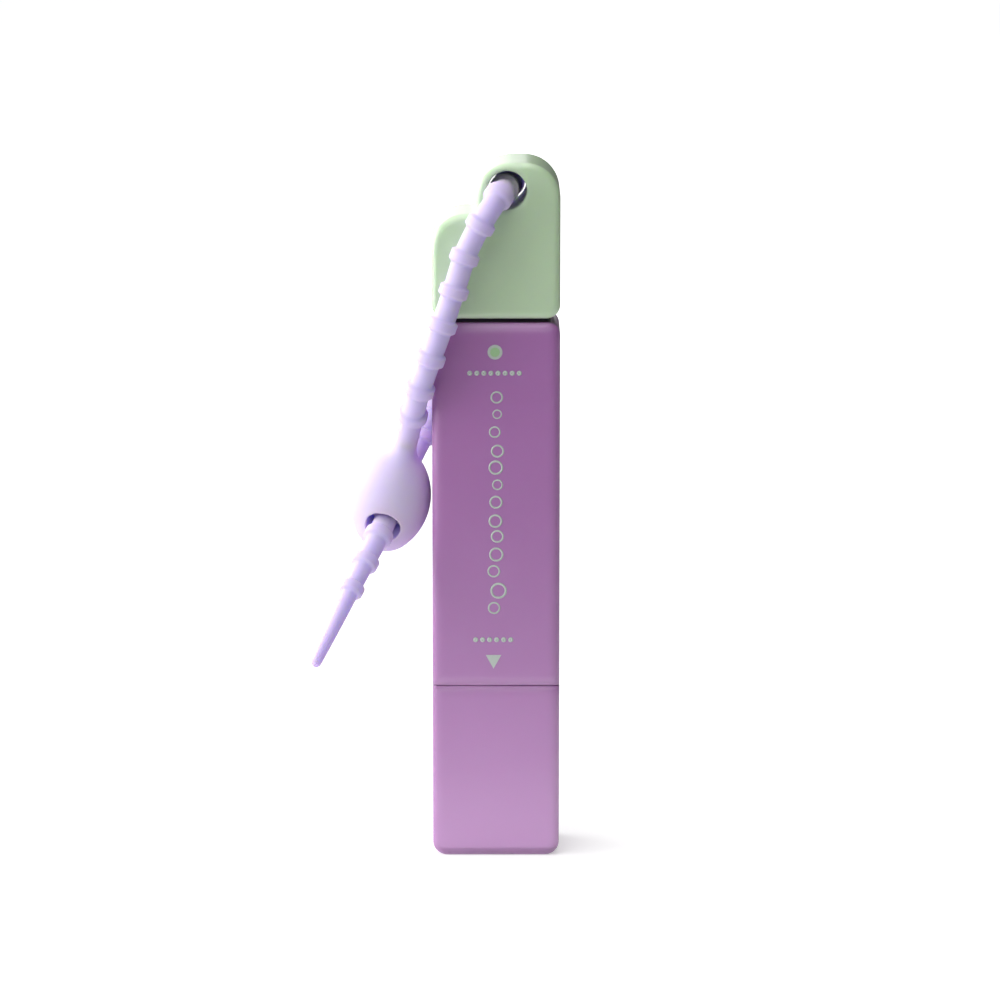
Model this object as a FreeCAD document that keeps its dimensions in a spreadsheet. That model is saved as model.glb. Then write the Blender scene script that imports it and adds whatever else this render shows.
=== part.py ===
import FreeCAD, Part
import math
import os
import Sketcher

Vector = FreeCAD.Vector

doc = FreeCAD.newDocument("stain_remover_pen")
sheet = doc.addObject("Spreadsheet::Sheet", "size")

# Driving sizes in millimetres (counts have none): the name, the value and what it is.
SIZES = (
    ("body_width", 18.1, "casing, side to side"),
    ("body_depth", 12.5, "casing, front to back"),
    ("casing_wall", 1.3, "wall of the barrel and both caps"),
    ("edge_round", 0.7, "round along the front and back edges of the casing"),
    ("bore_corner", 0.8, "corner round of the square bores inside the casing"),
    ("cut_overrun", 0.5, "how far a cut or a joined rib runs past the face it meets"),
    ("brush_cap_length", 25.0, "foot cap, end to seam"),
    ("brush_cap_floor", 1.5, "end wall of the foot cap"),
    ("brush_cap_corner", 2.0, "front view corner round of the foot cap"),
    ("seam_gap", 0.1, "foot cap to barrel"),
    ("seam_round", 0.15, "broken edge along the seam"),
    ("barrel_length", 52.3, "barrel, seam to shoulder"),
    ("barrel_corner", 1.7, "front view corner round of the barrel"),
    ("cap_gap", 0.6, "barrel to upper cap, where the collar shows"),
    ("remover_cap_length", 22.0, "upper cap, mouth to top of the ear"),
    ("remover_cap_corner", 2.0, "front view corner round at the mouth of the upper cap"),
    ("ear_width", 11.9, "hanger ear, side to side"),
    ("ear_round", 5.0, "upper corners of the ear"),
    ("shoulder_drop", 7.2, "top of the ear down to the shoulder"),
    ("shoulder_round", 4.7, "round of the shoulder"),
    ("ear_root_round", 0.7, "inner corner between shoulder and ear"),
    ("hanger_hole_radius", 2.75, "hole through the ear"),
    ("hanger_hole_inset", 4.43, "ear's inner side to the middle of the hole"),
    ("hanger_hole_drop", 3.85, "top of the ear to the middle of the hole"),
    ("hanger_hole_round", 0.3, "rounded rims of the hole"),
    ("cap_cavity_height", 11.7, "bore of the upper cap, mouth to ceiling"),
    ("collar_press", 0.05, "fit of the glued inserts in the barrel, each side"),
    ("cap_clearance", 0.12, "fit of the caps on their spigots, each side"),
    ("collar_depth", 5.0, "collar inside the barrel"),
    ("collar_height", 4.0, "collar above the barrel"),
    ("collar_chamfer", 0.5, "lead-in of the spigots"),
    ("collar_bore_radius", 3.3, "bore of the collar, which the neck and the nose cone sit in"),
    ("reservoir_clearance", 0.2, "bottle in the barrel, each side"),
    ("reservoir_wall", 0.9, "side wall of the bottle"),
    ("reservoir_shoulder", 1.2, "top wall of the bottle"),
    ("neck_clearance", 0.1, "bottle neck in the collar"),
    ("neck_height", 5.2, "bottle neck"),
    ("neck_wall", 0.75, "wall of the neck"),
    ("plug_height", 3.0, "welded floor of the bottle"),
    ("plug_press", 0.05, "fit of the floor in the bottle, each side"),
    ("plug_rim", 1.0, "rim round the dish of the floor"),
    ("plug_dish", 2.0, "depth of the dish"),
    ("gasket_thickness", 0.4, "gasket on the neck"),
    ("valve_flange", 0.8, "flange of the valve body"),
    ("valve_press", 0.05, "valve body in the neck"),
    ("valve_tube_length", 7.5, "valve body below its flange"),
    ("valve_wall", 0.4, "wall of the valve chamber"),
    ("valve_plate", 1.6, "wall that the stem goes through"),
    ("stem_clearance", 0.3, "fluid way round the stem"),
    ("seat_land", 0.5, "how far the valve head covers its seat"),
    ("washer_thickness", 0.6, "rubber seat"),
    ("washer_fit", 0.05, "rubber seat in the chamber"),
    ("seat_gap", 0.05, "valve head to its seat at rest"),
    ("head_flow_gap", 0.5, "fluid way round the valve head"),
    ("head_height", 0.8, "valve head"),
    ("pilot_clearance", 0.25, "valve spring round the pin under the valve head"),
    ("pilot_length", 1.6, "length of that pin"),
    ("spring_wire", 0.35, "wire of the valve spring, across"),
    ("spring_clearance", 0.15, "valve spring inside the rim of the cage"),
    ("spring_turns", 6, "turns of the valve spring"),
    ("spring_end_gap", 0.05, "valve spring to its two seats"),
    ("cage_floor", 0.8, "floor of the valve cage"),
    ("cage_rim", 1.5, "rim of the cage inside the valve body"),
    ("cage_wall", 0.35, "wall of that rim"),
    ("cage_fit", 0.05, "rim in the valve body"),
    ("cage_ports", 4, "fluid ports in the cage floor"),
    ("cage_port_radius", 0.4, "one port"),
    ("cage_port_ring", 0.75, "middle of a port to the axis"),
    ("nose_press", 0.1, "nose cone and valve flange in the collar"),
    ("nose_wall", 0.5, "skirt of the nose cone round the foot of the nib"),
    ("nose_ledge", 0.4, "flange of the nose cone past the collar's bore"),
    ("nose_flange", 0.8, "thickness of that flange"),
    ("nose_tip_wall", 0.6, "wall at the top of the cone"),
    ("nose_spread", 0.5, "how much wider the cone is at its foot than at its top"),
    ("nose_length", 3.4, "flange to top of the cone"),
    ("nose_round", 0.25, "broken edge of the cone"),
    ("nib_clearance", 0.1, "nib in the nose cone"),
    ("nib_shoulder", 0.5, "how far the nib's foot stands out, for the cone to hold it back"),
    ("nib_base_height", 1.5, "height of that foot"),
    ("nib_stop_gap", 0.05, "nib's foot to the step in the cone"),
    ("nib_exposed", 2.4, "nib above the cone"),
    ("nib_tip_land", 0.6, "flat in the middle of the nib's rounded end, from its axis"),
    ("nib_travel", 1.2, "how far the nib can be pressed"),
    ("nib_floor_gap", 0.2, "pressed nib to the valve body"),
    ("liner_clearance", 0.1, "soft cup inside the upper cap round the foot of the cone"),
    ("liner_wall", 0.4, "wall of the cup"),
    ("liner_top", 0.6, "end of the cup"),
    ("liner_gap", 0.15, "cup to the nose cone's flange"),
    ("liner_fit", 0.05, "cup to the ribs that hold it"),
    ("liner_rib", 0.9, "thickness of the ribs beside the cup"),
    ("liner_rib_height", 5.0, "those ribs, down from the ceiling"),
    ("carrier_depth", 6.0, "brush carrier inside the barrel"),
    ("carrier_wall", 1.2, "wall and floor of the hollow carrier"),
    ("spigot_height", 4.5, "carrier below the barrel, in the foot cap"),
    ("brush_head_width", 12.6, "brush head, side to side"),
    ("brush_head_depth", 7.8, "brush head, front to back"),
    ("brush_head_height", 2.0, "brush head below the spigot"),
    ("brush_head_corner", 1.6, "corner round of the brush head"),
    ("tuft_columns", 6, "tufts, side to side"),
    ("tuft_rows", 4, "tufts, front to back"),
    ("tuft_column_pitch", 2.05, "tuft spacing, side to side"),
    ("tuft_row_pitch", 1.9, "tuft spacing, front to back"),
    ("tuft_hole_radius", 0.75, "blind hole of one tuft"),
    ("tuft_hole_depth", 2.8, "depth of that hole"),
    ("tuft_fit", 0.03, "tuft in its hole"),
    ("tuft_flare", 0.1, "how much wider a tuft is at its tip than at its root"),
    ("tuft_length", 10.6, "tuft below the brush head"),
    ("anchor_width", 1.3, "staple across its tuft"),
    ("anchor_thickness", 0.3, "sheet of the staple"),
    ("anchor_height", 0.7, "staple along its tuft"),
    ("strap_radius", 1.6, "silicone strap between its beads"),
    ("bead_radius", 2.1, "strap over a bead"),
    ("bead_length", 2.0, "one bead"),
    ("bead_pitch", 5.05, "bead to bead"),
    ("bead_first", 5.65, "strap head to the middle of the first bead"),
    ("taper_length", 25.5, "tapered end of the strap, beads and all"),
    ("tail_length", 11.5, "smooth tail after the last bead"),
    ("tail_tip_radius", 0.72, "end of the tail"),
    ("strap_head_radius", 5.6, "egg-shaped head, widest"),
    ("strap_head_drop", 8.9, "top of the neck down to the widest level"),
    ("strap_head_side_round", 10.0, "side of the egg"),
    ("strap_head_end_round", 4.5, "both ends of the egg"),
    ("strap_neck_round", 1.8, "blend of the neck into the egg"),
    ("strap_hole_radius", 2.5, "cross hole that the tail goes through"),
    ("strap_hole_round", 0.4, "rounded rims of the cross hole"),
)
for row, (name, number, note) in enumerate(SIZES, start=1):
    sheet.set(f"A{row}", name)
    sheet.set(f"B{row}", str(number))
    sheet.setAlias(f"B{row}", name)
    sheet.set(f"C{row}", note)
doc.recompute()

# The strap's route in millimetres, chosen by hand: from the neck of its head up the front of the
# pen, through the ear, down the back, through the head's cross hole and out to the tip of the tail.
EAR_FRONT = (0.55, -9.60, 96.10)
EAR_BACK = (2.35, 9.60, 96.10)
HEAD_ENTRY = (-12.80, 7.04, 54.75)
HEAD_EXIT = (-16.60, -5.57, 46.80)
STRAP_ROUTE = (
    (-12.91, -2.49, 59.18),
    (-12.30, -3.20, 61.60),
    (-10.90, -7.90, 68.00),
    (-8.43, -9.45, 75.00),
    (-5.99, -9.40, 82.00),
    (-3.95, -9.55, 89.00),
    EAR_FRONT,
    EAR_BACK,
    (-0.30, 9.30, 87.90),
    (-3.66, 9.45, 79.80),
    (-5.91, 9.50, 72.00),
    (-7.96, 9.60, 65.40),
    (-9.86, 9.50, 60.00),
    HEAD_ENTRY,
    (-14.87, 0.00, 50.45),
    HEAD_EXIT,
    (-19.86, -11.80, 41.40),
    (-22.71, -17.20, 36.10),
    (-25.31, -22.00, 31.60),
)
# How much of the shorter run beside a corner the corner's arc takes.
ARC_SHARE = 0.45
# A bead along its length: rise, crown and fall.
BEAD_RISE_SHARE = 0.25
# The rounded end of the tail: place before the tip and radius, as shares of the tip's radius.
TIP_SHARES = ((1.0, 1.0), (0.5, 0.87), (0.15, 0.53), (0.0, 0.2))
ARC_STEP_DEGREES = 16
STATION_GAP_SHARE = 0.08
SECTION_SIDES = 8
MATCH = 1e-4
# A sketch numbers the points of a line or an arc in this order.
POINT_ORDER = ("edge", "start", "end", "centre")
START, END, CENTRE = (POINT_ORDER.index(word) for word in ("start", "end", "centre"))

# Levels above the foot of the pen, as expressions in the driving sizes.
HALF_WIDTH = "size.body_width / 2"
HALF_DEPTH = "size.body_depth / 2"
BORE_WIDTH = f"({HALF_WIDTH} - size.casing_wall)"
BORE_DEPTH = f"({HALF_DEPTH} - size.casing_wall)"
BARREL_FOOT = "(size.brush_cap_length + size.seam_gap)"
BARREL_TOP = f"({BARREL_FOOT} + size.barrel_length)"
CAP_FOOT = f"({BARREL_TOP} + size.cap_gap)"
PEN_TOP = f"({CAP_FOOT} + size.remover_cap_length)"
SHOULDER = f"({PEN_TOP} - size.shoulder_drop)"
EAR_SIDE = f"({HALF_WIDTH} - size.ear_width)"
CEILING = f"({CAP_FOOT} + size.cap_cavity_height)"
COLLAR_FOOT = f"({BARREL_TOP} - size.collar_depth)"
COLLAR_TOP = f"({BARREL_TOP} + size.collar_height)"
CARRIER_TOP = f"({BARREL_FOOT} + size.carrier_depth)"
SPIGOT_FOOT = f"({BARREL_FOOT} - size.spigot_height)"
BRUSH_FACE = f"({SPIGOT_FOOT} - size.brush_head_height)"
NECK_TOP = f"({COLLAR_FOOT} + size.neck_height)"
FLANGE_FOOT = f"({NECK_TOP} + size.gasket_thickness)"
FLANGE_TOP = f"({FLANGE_FOOT} + size.valve_flange)"
PLATE_FOOT = f"({FLANGE_TOP} - size.valve_plate)"
TUBE_FOOT = f"({FLANGE_FOOT} - size.valve_tube_length)"
WASHER_FOOT = f"({PLATE_FOOT} - size.washer_thickness)"
HEAD_TOP = f"({WASHER_FOOT} - size.seat_gap)"
HEAD_FOOT = f"({HEAD_TOP} - size.head_height)"
NIB_FOOT = f"({FLANGE_TOP} + size.nib_travel + size.nib_floor_gap)"
NIB_STEP = f"({NIB_FOOT} + size.nib_base_height)"
NOSE_STEP = f"({NIB_STEP} + size.nib_stop_gap)"
NOSE_FLANGE_TOP = f"({COLLAR_TOP} + size.nose_flange)"
NOSE_TOP = f"({NOSE_FLANGE_TOP} + size.nose_length)"
NIB_TOP = f"({NOSE_TOP} + size.nib_exposed)"

# Radii that several pieces share.
NECK_RADIUS = "(size.collar_bore_radius - size.neck_clearance)"
NECK_BORE = f"({NECK_RADIUS} - size.neck_wall)"
SEATED_RADIUS = "(size.collar_bore_radius - size.nose_press)"
TUBE_RADIUS = f"({NECK_BORE} - size.valve_press)"
CHAMBER_RADIUS = f"({TUBE_RADIUS} - size.valve_wall)"
HEAD_RADIUS = f"({CHAMBER_RADIUS} - size.head_flow_gap)"
STEM_HOLE = f"({HEAD_RADIUS} - size.seat_land)"
STEM_RADIUS = f"({STEM_HOLE} - size.stem_clearance)"
CAGE_RIM_OUTER = f"({CHAMBER_RADIUS} - size.cage_fit)"
CAGE_RIM_INNER = f"({CAGE_RIM_OUTER} - size.cage_wall)"
SPRING_RADIUS = f"({CAGE_RIM_INNER} - size.spring_clearance - size.spring_wire / 2)"
PILOT_RADIUS = f"({SPRING_RADIUS} - size.spring_wire / 2 - size.pilot_clearance)"
NIB_SEAT = f"({SEATED_RADIUS} - size.nose_wall)"
NIB_BASE_RADIUS = f"({NIB_SEAT} - size.nib_clearance)"
NIB_RADIUS = f"({NIB_BASE_RADIUS} - size.nib_shoulder)"
NOSE_BORE = f"({NIB_RADIUS} + size.nib_clearance)"
NOSE_TIP_RADIUS = f"({NOSE_BORE} + size.nose_tip_wall)"
NOSE_FOOT_RADIUS = f"({NOSE_TIP_RADIUS} + size.nose_spread)"
LINER_BORE = f"({NOSE_FOOT_RADIUS} + size.liner_clearance)"
LINER_RADIUS = f"({LINER_BORE} + size.liner_wall)"


def value(expression):
    return float(sheet.evalExpression(expression))


def near(one, other):
    return abs(one - other) < MATCH


# Sketches: every point is held by two expressions, so that the outline follows the sheet.

def new_body(node):
    body = doc.addObject("PartDesign::Body", node)
    body.Label = node
    return body


def origin_feature(body, role):
    return next(feature for feature in body.Origin.OriginFeatures if feature.Role == role)


def sketch_on(body, role, height=None):
    sketch = body.newObject("Sketcher::SketchObject", f"{body.Name}_sketch")
    sketch.AttachmentSupport = [(origin_feature(body, role), "")]
    sketch.MapMode = "FlatFace"
    if height:
        sketch.setExpression("AttachmentOffset.Base.z", height)
    return sketch


def bind(sketch, constraint, expression):
    index = sketch.addConstraint(constraint)
    sketch.setExpression(f"Constraints[{index}]", expression)


def hold_across(sketch, geometry, end, expression):
    bind(sketch, Sketcher.Constraint("DistanceX", -1, 1, geometry, end, value(expression)), expression)


def hold_up(sketch, geometry, end, expression):
    bind(sketch, Sketcher.Constraint("DistanceY", -1, 1, geometry, end, value(expression)), expression)


def join(sketch, one, one_end, other, other_end):
    sketch.addConstraint(Sketcher.Constraint("Coincident", one, one_end, other, other_end))


def add_outline(sketch, corners):
    points = [Vector(value(across), value(up), 0) for across, up in corners]
    first = sketch.GeometryCount
    for point, after in zip(points, points[1:] + points[:1]):
        sketch.addGeometry(Part.LineSegment(point, after), False)
    for index, (across, up) in enumerate(corners):
        after = (index + 1) % len(corners)
        join(sketch, first + index, END, first + after, START)
        hold_across(sketch, first + index, START, across)
        hold_up(sketch, first + index, START, up)


def add_circle(sketch, across, up, radius):
    circle = Part.Circle(Vector(value(across), value(up), 0), Vector(0, 0, 1), value(radius))
    index = sketch.addGeometry(circle, False)
    hold_across(sketch, index, CENTRE, across)
    hold_up(sketch, index, CENTRE, up)
    bind(sketch, Sketcher.Constraint("Radius", index, value(radius)), radius)


def add_rounded_box(sketch, half_width, half_depth, radius):
    quarter = math.pi / 2
    signs = ((1, 1), (-1, 1), (-1, -1), (1, -1))
    first = sketch.GeometryCount
    centres = []
    for turn, (side, front) in enumerate(signs):
        across = f"{side} * ({half_width} - ({radius}))"
        up = f"{front} * ({half_depth} - ({radius}))"
        circle = Part.Circle(Vector(value(across), value(up), 0), Vector(0, 0, 1), value(radius))
        sketch.addGeometry(Part.ArcOfCircle(circle, turn * quarter, (turn + 1) * quarter), False)
        centres.append((across, up))
    for turn, (across, up) in enumerate(centres):
        arc = first + turn
        level_end, upright_end = (START, END) if turn % 2 == 0 else (END, START)
        hold_across(sketch, arc, CENTRE, across)
        hold_up(sketch, arc, CENTRE, up)
        bind(sketch, Sketcher.Constraint("Radius", arc, value(radius)), radius)
        hold_up(sketch, arc, level_end, up)
        hold_across(sketch, arc, upright_end, across)
    arcs = [sketch.Geometry[first + turn] for turn in range(len(signs))]
    for turn, arc in enumerate(arcs):
        after = (turn + 1) % len(signs)
        side = sketch.addGeometry(Part.LineSegment(arc.EndPoint, arcs[after].StartPoint), False)
        join(sketch, first + turn, END, side, START)
        join(sketch, side, END, first + after, START)


# Features on those sketches.

def pad(body, sketch, length, symmetric=False, downward=False):
    feature = body.newObject("PartDesign::Pad", f"{body.Name}_pad")
    feature.Profile = sketch
    feature.setExpression("Length", length)
    feature.SideType = "Symmetric" if symmetric else "One side"
    feature.Reversed = downward
    doc.recompute()
    return feature


def pocket(body, sketch, depth=None, upward=False):
    before = body.Shape.Volume
    feature = body.newObject("PartDesign::Pocket", f"{body.Name}_pocket")
    feature.Profile = sketch
    if depth:
        feature.setExpression("Length", depth)
    else:
        feature.Type = "ThroughAll"
        feature.SideType = "Symmetric"
    feature.Reversed = upward
    doc.recompute()
    if not body.Shape.Volume < before:
        raise RuntimeError(f"a pocket of {body.Label} cuts nothing")
    return feature


def revolve(body, sketch):
    feature = body.newObject("PartDesign::Revolution", f"{body.Name}_revolution")
    feature.Profile = sketch
    feature.ReferenceAxis = (origin_feature(body, "Z_Axis"), [""])
    doc.recompute()
    return feature


def dress_edges(kind, body, size_name, wanted):
    base = body.Tip
    edges = enumerate(base.Shape.Edges, start=1)
    names = [f"Edge{index}" for index, edge in edges if wanted(edge)]
    if not names:
        raise RuntimeError(f"no edge of {body.Label} to dress")
    feature = body.newObject(f"PartDesign::{kind}", f"{body.Name}_{kind.lower()}")
    feature.Base = (base, names)
    feature.setExpression("Radius" if kind == "Fillet" else "Size", size_name)
    doc.recompute()
    return feature


def round_edges(body, radius, wanted):
    return dress_edges("Fillet", body, radius, wanted)


def bevel_edges(body, size_name, wanted):
    return dress_edges("Chamfer", body, size_name, wanted)


# Ways to name edges by where they lie.

def runs_deep_at(edge, across, up):
    box = edge.BoundBox
    return (near(box.XMin, across) and near(box.XMax, across)
            and near(box.ZMin, up) and near(box.ZMax, up))


def lies_on_face(edge, half_depth):
    box = edge.BoundBox
    return near(box.YMin, box.YMax) and near(abs(box.YMin), half_depth)


def lies_level_at(edge, up):
    return near(edge.BoundBox.ZMin, up) and near(edge.BoundBox.ZMax, up)


def is_ring_at(edge, radius, up):
    return lies_level_at(edge, up) and near(edge.BoundBox.XMax, radius)


# Casing: front outlines carried through the depth, edges rounded, square bores cut from the mouths.

def cut_square_bore(body, mouth, depth, upward):
    sketch = sketch_on(body, "XY_Plane", mouth)
    add_rounded_box(sketch, BORE_WIDTH, BORE_DEPTH, "size.bore_corner")
    pocket(body, sketch, depth, upward)


def break_seam(body, seam):
    width, level = value(HALF_WIDTH), value(seam)
    bore_width, bore_depth = value(BORE_WIDTH), value(BORE_DEPTH)

    def is_outer(edge):
        middle = edge.CenterOfMass
        inside = abs(middle.x) < bore_width + MATCH and abs(middle.y) < bore_depth + MATCH
        return lies_level_at(edge, level) and not inside and abs(middle.x) < width + MATCH

    round_edges(body, "size.seam_round", is_outer)


def make_casing(node, outline, corner_rounds, seam=None):
    """A front outline padded through the depth, with its corners and its front and back edges round."""
    body = new_body(node)
    sketch = sketch_on(body, "XZ_Plane")
    add_outline(sketch, outline)
    pad(body, sketch, "size.body_depth", symmetric=True)
    for across, up, radius in corner_rounds:
        place = value(across), value(up)
        round_edges(body, radius, lambda edge: runs_deep_at(edge, *place))
    half_depth = value(HALF_DEPTH)
    seam_level = value(seam) if seam else None

    def is_rim(edge):
        at_seam = seam_level is not None and lies_level_at(edge, seam_level)
        return lies_on_face(edge, half_depth) and not at_seam

    round_edges(body, "size.edge_round", is_rim)
    return body


def make_brush_cap():
    corner = "size.brush_cap_corner"
    outline = (
        (f"-{HALF_WIDTH}", "0"),
        (HALF_WIDTH, "0"),
        (HALF_WIDTH, "size.brush_cap_length"),
        (f"-{HALF_WIDTH}", "size.brush_cap_length"),
    )
    corners = (
        (f"-{HALF_WIDTH}", "0", corner),
        (HALF_WIDTH, "0", corner),
    )
    body = make_casing("brush_cap", outline, corners, seam="size.brush_cap_length")
    bore = "size.brush_cap_length - size.brush_cap_floor"
    cut_square_bore(body, "size.brush_cap_length", bore, upward=False)
    break_seam(body, "size.brush_cap_length")
    return body


def make_barrel():
    corner = "size.barrel_corner"
    outline = (
        (f"-{HALF_WIDTH}", BARREL_FOOT),
        (HALF_WIDTH, BARREL_FOOT),
        (HALF_WIDTH, BARREL_TOP),
        (f"-{HALF_WIDTH}", BARREL_TOP),
    )
    corners = (
        (f"-{HALF_WIDTH}", BARREL_TOP, corner),
        (HALF_WIDTH, BARREL_TOP, corner),
    )
    body = make_casing("barrel", outline, corners, seam=BARREL_FOOT)
    cut_square_bore(body, BARREL_FOOT, "size.barrel_length + size.cut_overrun", upward=True)
    break_seam(body, BARREL_FOOT)
    return body


def make_remover_cap():
    corner = "size.remover_cap_corner"
    outline = (
        (f"-{HALF_WIDTH}", CAP_FOOT),
        (HALF_WIDTH, CAP_FOOT),
        (HALF_WIDTH, PEN_TOP),
        (EAR_SIDE, PEN_TOP),
        (EAR_SIDE, SHOULDER),
        (f"-{HALF_WIDTH}", SHOULDER),
    )
    corners = (
        (f"-{HALF_WIDTH}", CAP_FOOT, corner),
        (HALF_WIDTH, CAP_FOOT, corner),
        (HALF_WIDTH, PEN_TOP, "size.ear_round"),
        (EAR_SIDE, PEN_TOP, "size.ear_round"),
        (EAR_SIDE, SHOULDER, "size.ear_root_round"),
        (f"-{HALF_WIDTH}", SHOULDER, "size.shoulder_round"),
    )
    body = make_casing("remover_cap", outline, corners)
    hole = sketch_on(body, "XZ_Plane")
    hole_across = f"{EAR_SIDE} + size.hanger_hole_inset"
    hole_up = f"{PEN_TOP} - size.hanger_hole_drop"
    add_circle(hole, hole_across, hole_up, "size.hanger_hole_radius")
    pocket(body, hole)
    half_depth = value(HALF_DEPTH)
    middle = Vector(value(hole_across), 0, value(hole_up))

    def is_hole_rim(edge):
        offset = edge.CenterOfMass - middle
        return lies_on_face(edge, half_depth) and near(offset.x, 0) and near(offset.z, 0)

    round_edges(body, "size.hanger_hole_round", is_hole_rim)
    cut_square_bore(body, CAP_FOOT, "size.cap_cavity_height", upward=True)
    ribs = sketch_on(body, "XY_Plane", CEILING)
    half_rib = "size.liner_rib / 2"
    rib_end = f"({BORE_WIDTH} + size.cut_overrun)"
    for side in (1, -1):
        inner = f"{side} * ({LINER_RADIUS} + size.liner_fit)"
        outer = f"{side} * {rib_end}"
        front, back = f"-{half_rib}", half_rib
        add_outline(ribs, ((inner, front), (outer, front), (outer, back), (inner, back)))
    pad(body, ribs, "size.liner_rib_height", downward=True)
    return body


# Inserts: square plugs glued into the barrel, each with a spigot that a cap slides over.

def pad_square(body, foot, height, fit):
    sketch = sketch_on(body, "XY_Plane", foot)
    corner = f"(size.bore_corner - {fit})"
    add_rounded_box(sketch, f"({BORE_WIDTH} - {fit})", f"({BORE_DEPTH} - {fit})", corner)
    return pad(body, sketch, height)


def cut_round(body, mouth, radius, depth, upward):
    sketch = sketch_on(body, "XY_Plane", mouth)
    add_circle(sketch, "0", "0", radius)
    pocket(body, sketch, depth, upward)


def make_neck_collar():
    body = new_body("neck_collar")
    pad_square(body, COLLAR_FOOT, "size.collar_depth", "size.collar_press")
    pad_square(body, BARREL_TOP, "size.collar_height", "size.cap_clearance")
    top = value(COLLAR_TOP)
    bevel_edges(body, "size.collar_chamfer", lambda edge: lies_level_at(edge, top))
    whole = "size.collar_depth + size.collar_height + size.cut_overrun"
    cut_round(body, COLLAR_FOOT, "size.collar_bore_radius", whole, upward=True)
    return body


def make_brush_carrier():
    body = new_body("brush_carrier")
    pad_square(body, BARREL_FOOT, "size.carrier_depth", "size.collar_press")
    pad_square(body, SPIGOT_FOOT, "size.spigot_height", "size.cap_clearance")
    foot = value(SPIGOT_FOOT)
    bevel_edges(body, "size.collar_chamfer", lambda edge: lies_level_at(edge, foot))
    head = sketch_on(body, "XY_Plane", BRUSH_FACE)
    head_width, head_depth = "size.brush_head_width / 2", "size.brush_head_depth / 2"
    add_rounded_box(head, head_width, head_depth, "size.brush_head_corner")
    pad(body, head, "size.brush_head_height")
    hollow = sketch_on(body, "XY_Plane", CARRIER_TOP)
    inset = "(size.carrier_wall + size.collar_press)"
    corner = "size.bore_corner / 2"
    add_rounded_box(hollow, f"({BORE_WIDTH} - {inset})", f"({BORE_DEPTH} - {inset})", corner)
    pocket(body, hollow, "size.carrier_depth - size.carrier_wall")
    holes = sketch_on(body, "XY_Plane", BRUSH_FACE)
    for across, up in tuft_places():
        add_circle(holes, across, up, "size.tuft_hole_radius")
    pocket(body, holes, "size.tuft_hole_depth", upward=True)
    return body


# Fluid side: bottle, valve and felt nib on the pen's axis.

def make_reservoir():
    body = new_body("reservoir")
    outer_width = f"({BORE_WIDTH} - size.reservoir_clearance)"
    outer_depth = f"({BORE_DEPTH} - size.reservoir_clearance)"
    shell = sketch_on(body, "XY_Plane", CARRIER_TOP)
    add_rounded_box(shell, outer_width, outer_depth, "size.bore_corner - size.reservoir_clearance")
    length = f"{COLLAR_FOOT} - {CARRIER_TOP}"
    pad(body, shell, length)
    neck = sketch_on(body, "XY_Plane", COLLAR_FOOT)
    add_circle(neck, "0", "0", NECK_RADIUS)
    pad(body, neck, "size.neck_height")
    inside = sketch_on(body, "XY_Plane", CARRIER_TOP)
    inner_width = f"({outer_width} - size.reservoir_wall)"
    inner_depth = f"({outer_depth} - size.reservoir_wall)"
    add_rounded_box(inside, inner_width, inner_depth, "size.bore_corner / 2")
    pocket(body, inside, f"{length} - size.reservoir_shoulder", upward=True)
    bore = "size.neck_height + size.reservoir_shoulder"
    cut_round(body, NECK_TOP, NECK_BORE, bore, upward=False)
    return body


def make_reservoir_plug():
    body = new_body("reservoir_plug")
    inset = "(size.reservoir_clearance + size.reservoir_wall + size.plug_press)"
    width, depth = f"({BORE_WIDTH} - {inset})", f"({BORE_DEPTH} - {inset})"
    corner = "(size.bore_corner / 2)"
    block = sketch_on(body, "XY_Plane", CARRIER_TOP)
    add_rounded_box(block, width, depth, corner)
    pad(body, block, "size.plug_height")
    dish = sketch_on(body, "XY_Plane", f"{CARRIER_TOP} + size.plug_height")
    add_rounded_box(dish, f"({width} - size.plug_rim)", f"({depth} - size.plug_rim)", corner)
    pocket(body, dish, "size.plug_dish")
    return body


def make_turned(node, outline):
    """A round piece from half of its section, given as radius and level."""
    body = new_body(node)
    sketch = sketch_on(body, "XZ_Plane")
    add_outline(sketch, outline)
    revolve(body, sketch)
    return body


def make_ring(node, inner, outer, foot, top):
    return make_turned(node, ((inner, foot), (outer, foot), (outer, top), (inner, top)))


def make_neck_gasket():
    return make_ring("neck_gasket", NECK_BORE, NECK_RADIUS, NECK_TOP, FLANGE_FOOT)


def make_seat_washer():
    outer = f"({CHAMBER_RADIUS} - size.washer_fit)"
    return make_ring("seat_washer", STEM_HOLE, outer, WASHER_FOOT, PLATE_FOOT)


def make_valve_body():
    return make_turned("valve_body", (
        (STEM_HOLE, PLATE_FOOT),
        (CHAMBER_RADIUS, PLATE_FOOT),
        (CHAMBER_RADIUS, TUBE_FOOT),
        (TUBE_RADIUS, TUBE_FOOT),
        (TUBE_RADIUS, FLANGE_FOOT),
        (SEATED_RADIUS, FLANGE_FOOT),
        (SEATED_RADIUS, FLANGE_TOP),
        (STEM_HOLE, FLANGE_TOP),
    ))


def make_valve_stem():
    pilot_foot = f"({HEAD_FOOT} - size.pilot_length)"
    return make_turned("valve_stem", (
        ("0", pilot_foot),
        (PILOT_RADIUS, pilot_foot),
        (PILOT_RADIUS, HEAD_FOOT),
        (HEAD_RADIUS, HEAD_FOOT),
        (HEAD_RADIUS, HEAD_TOP),
        (STEM_RADIUS, HEAD_TOP),
        (STEM_RADIUS, NIB_FOOT),
        ("0", NIB_FOOT),
    ))


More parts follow.
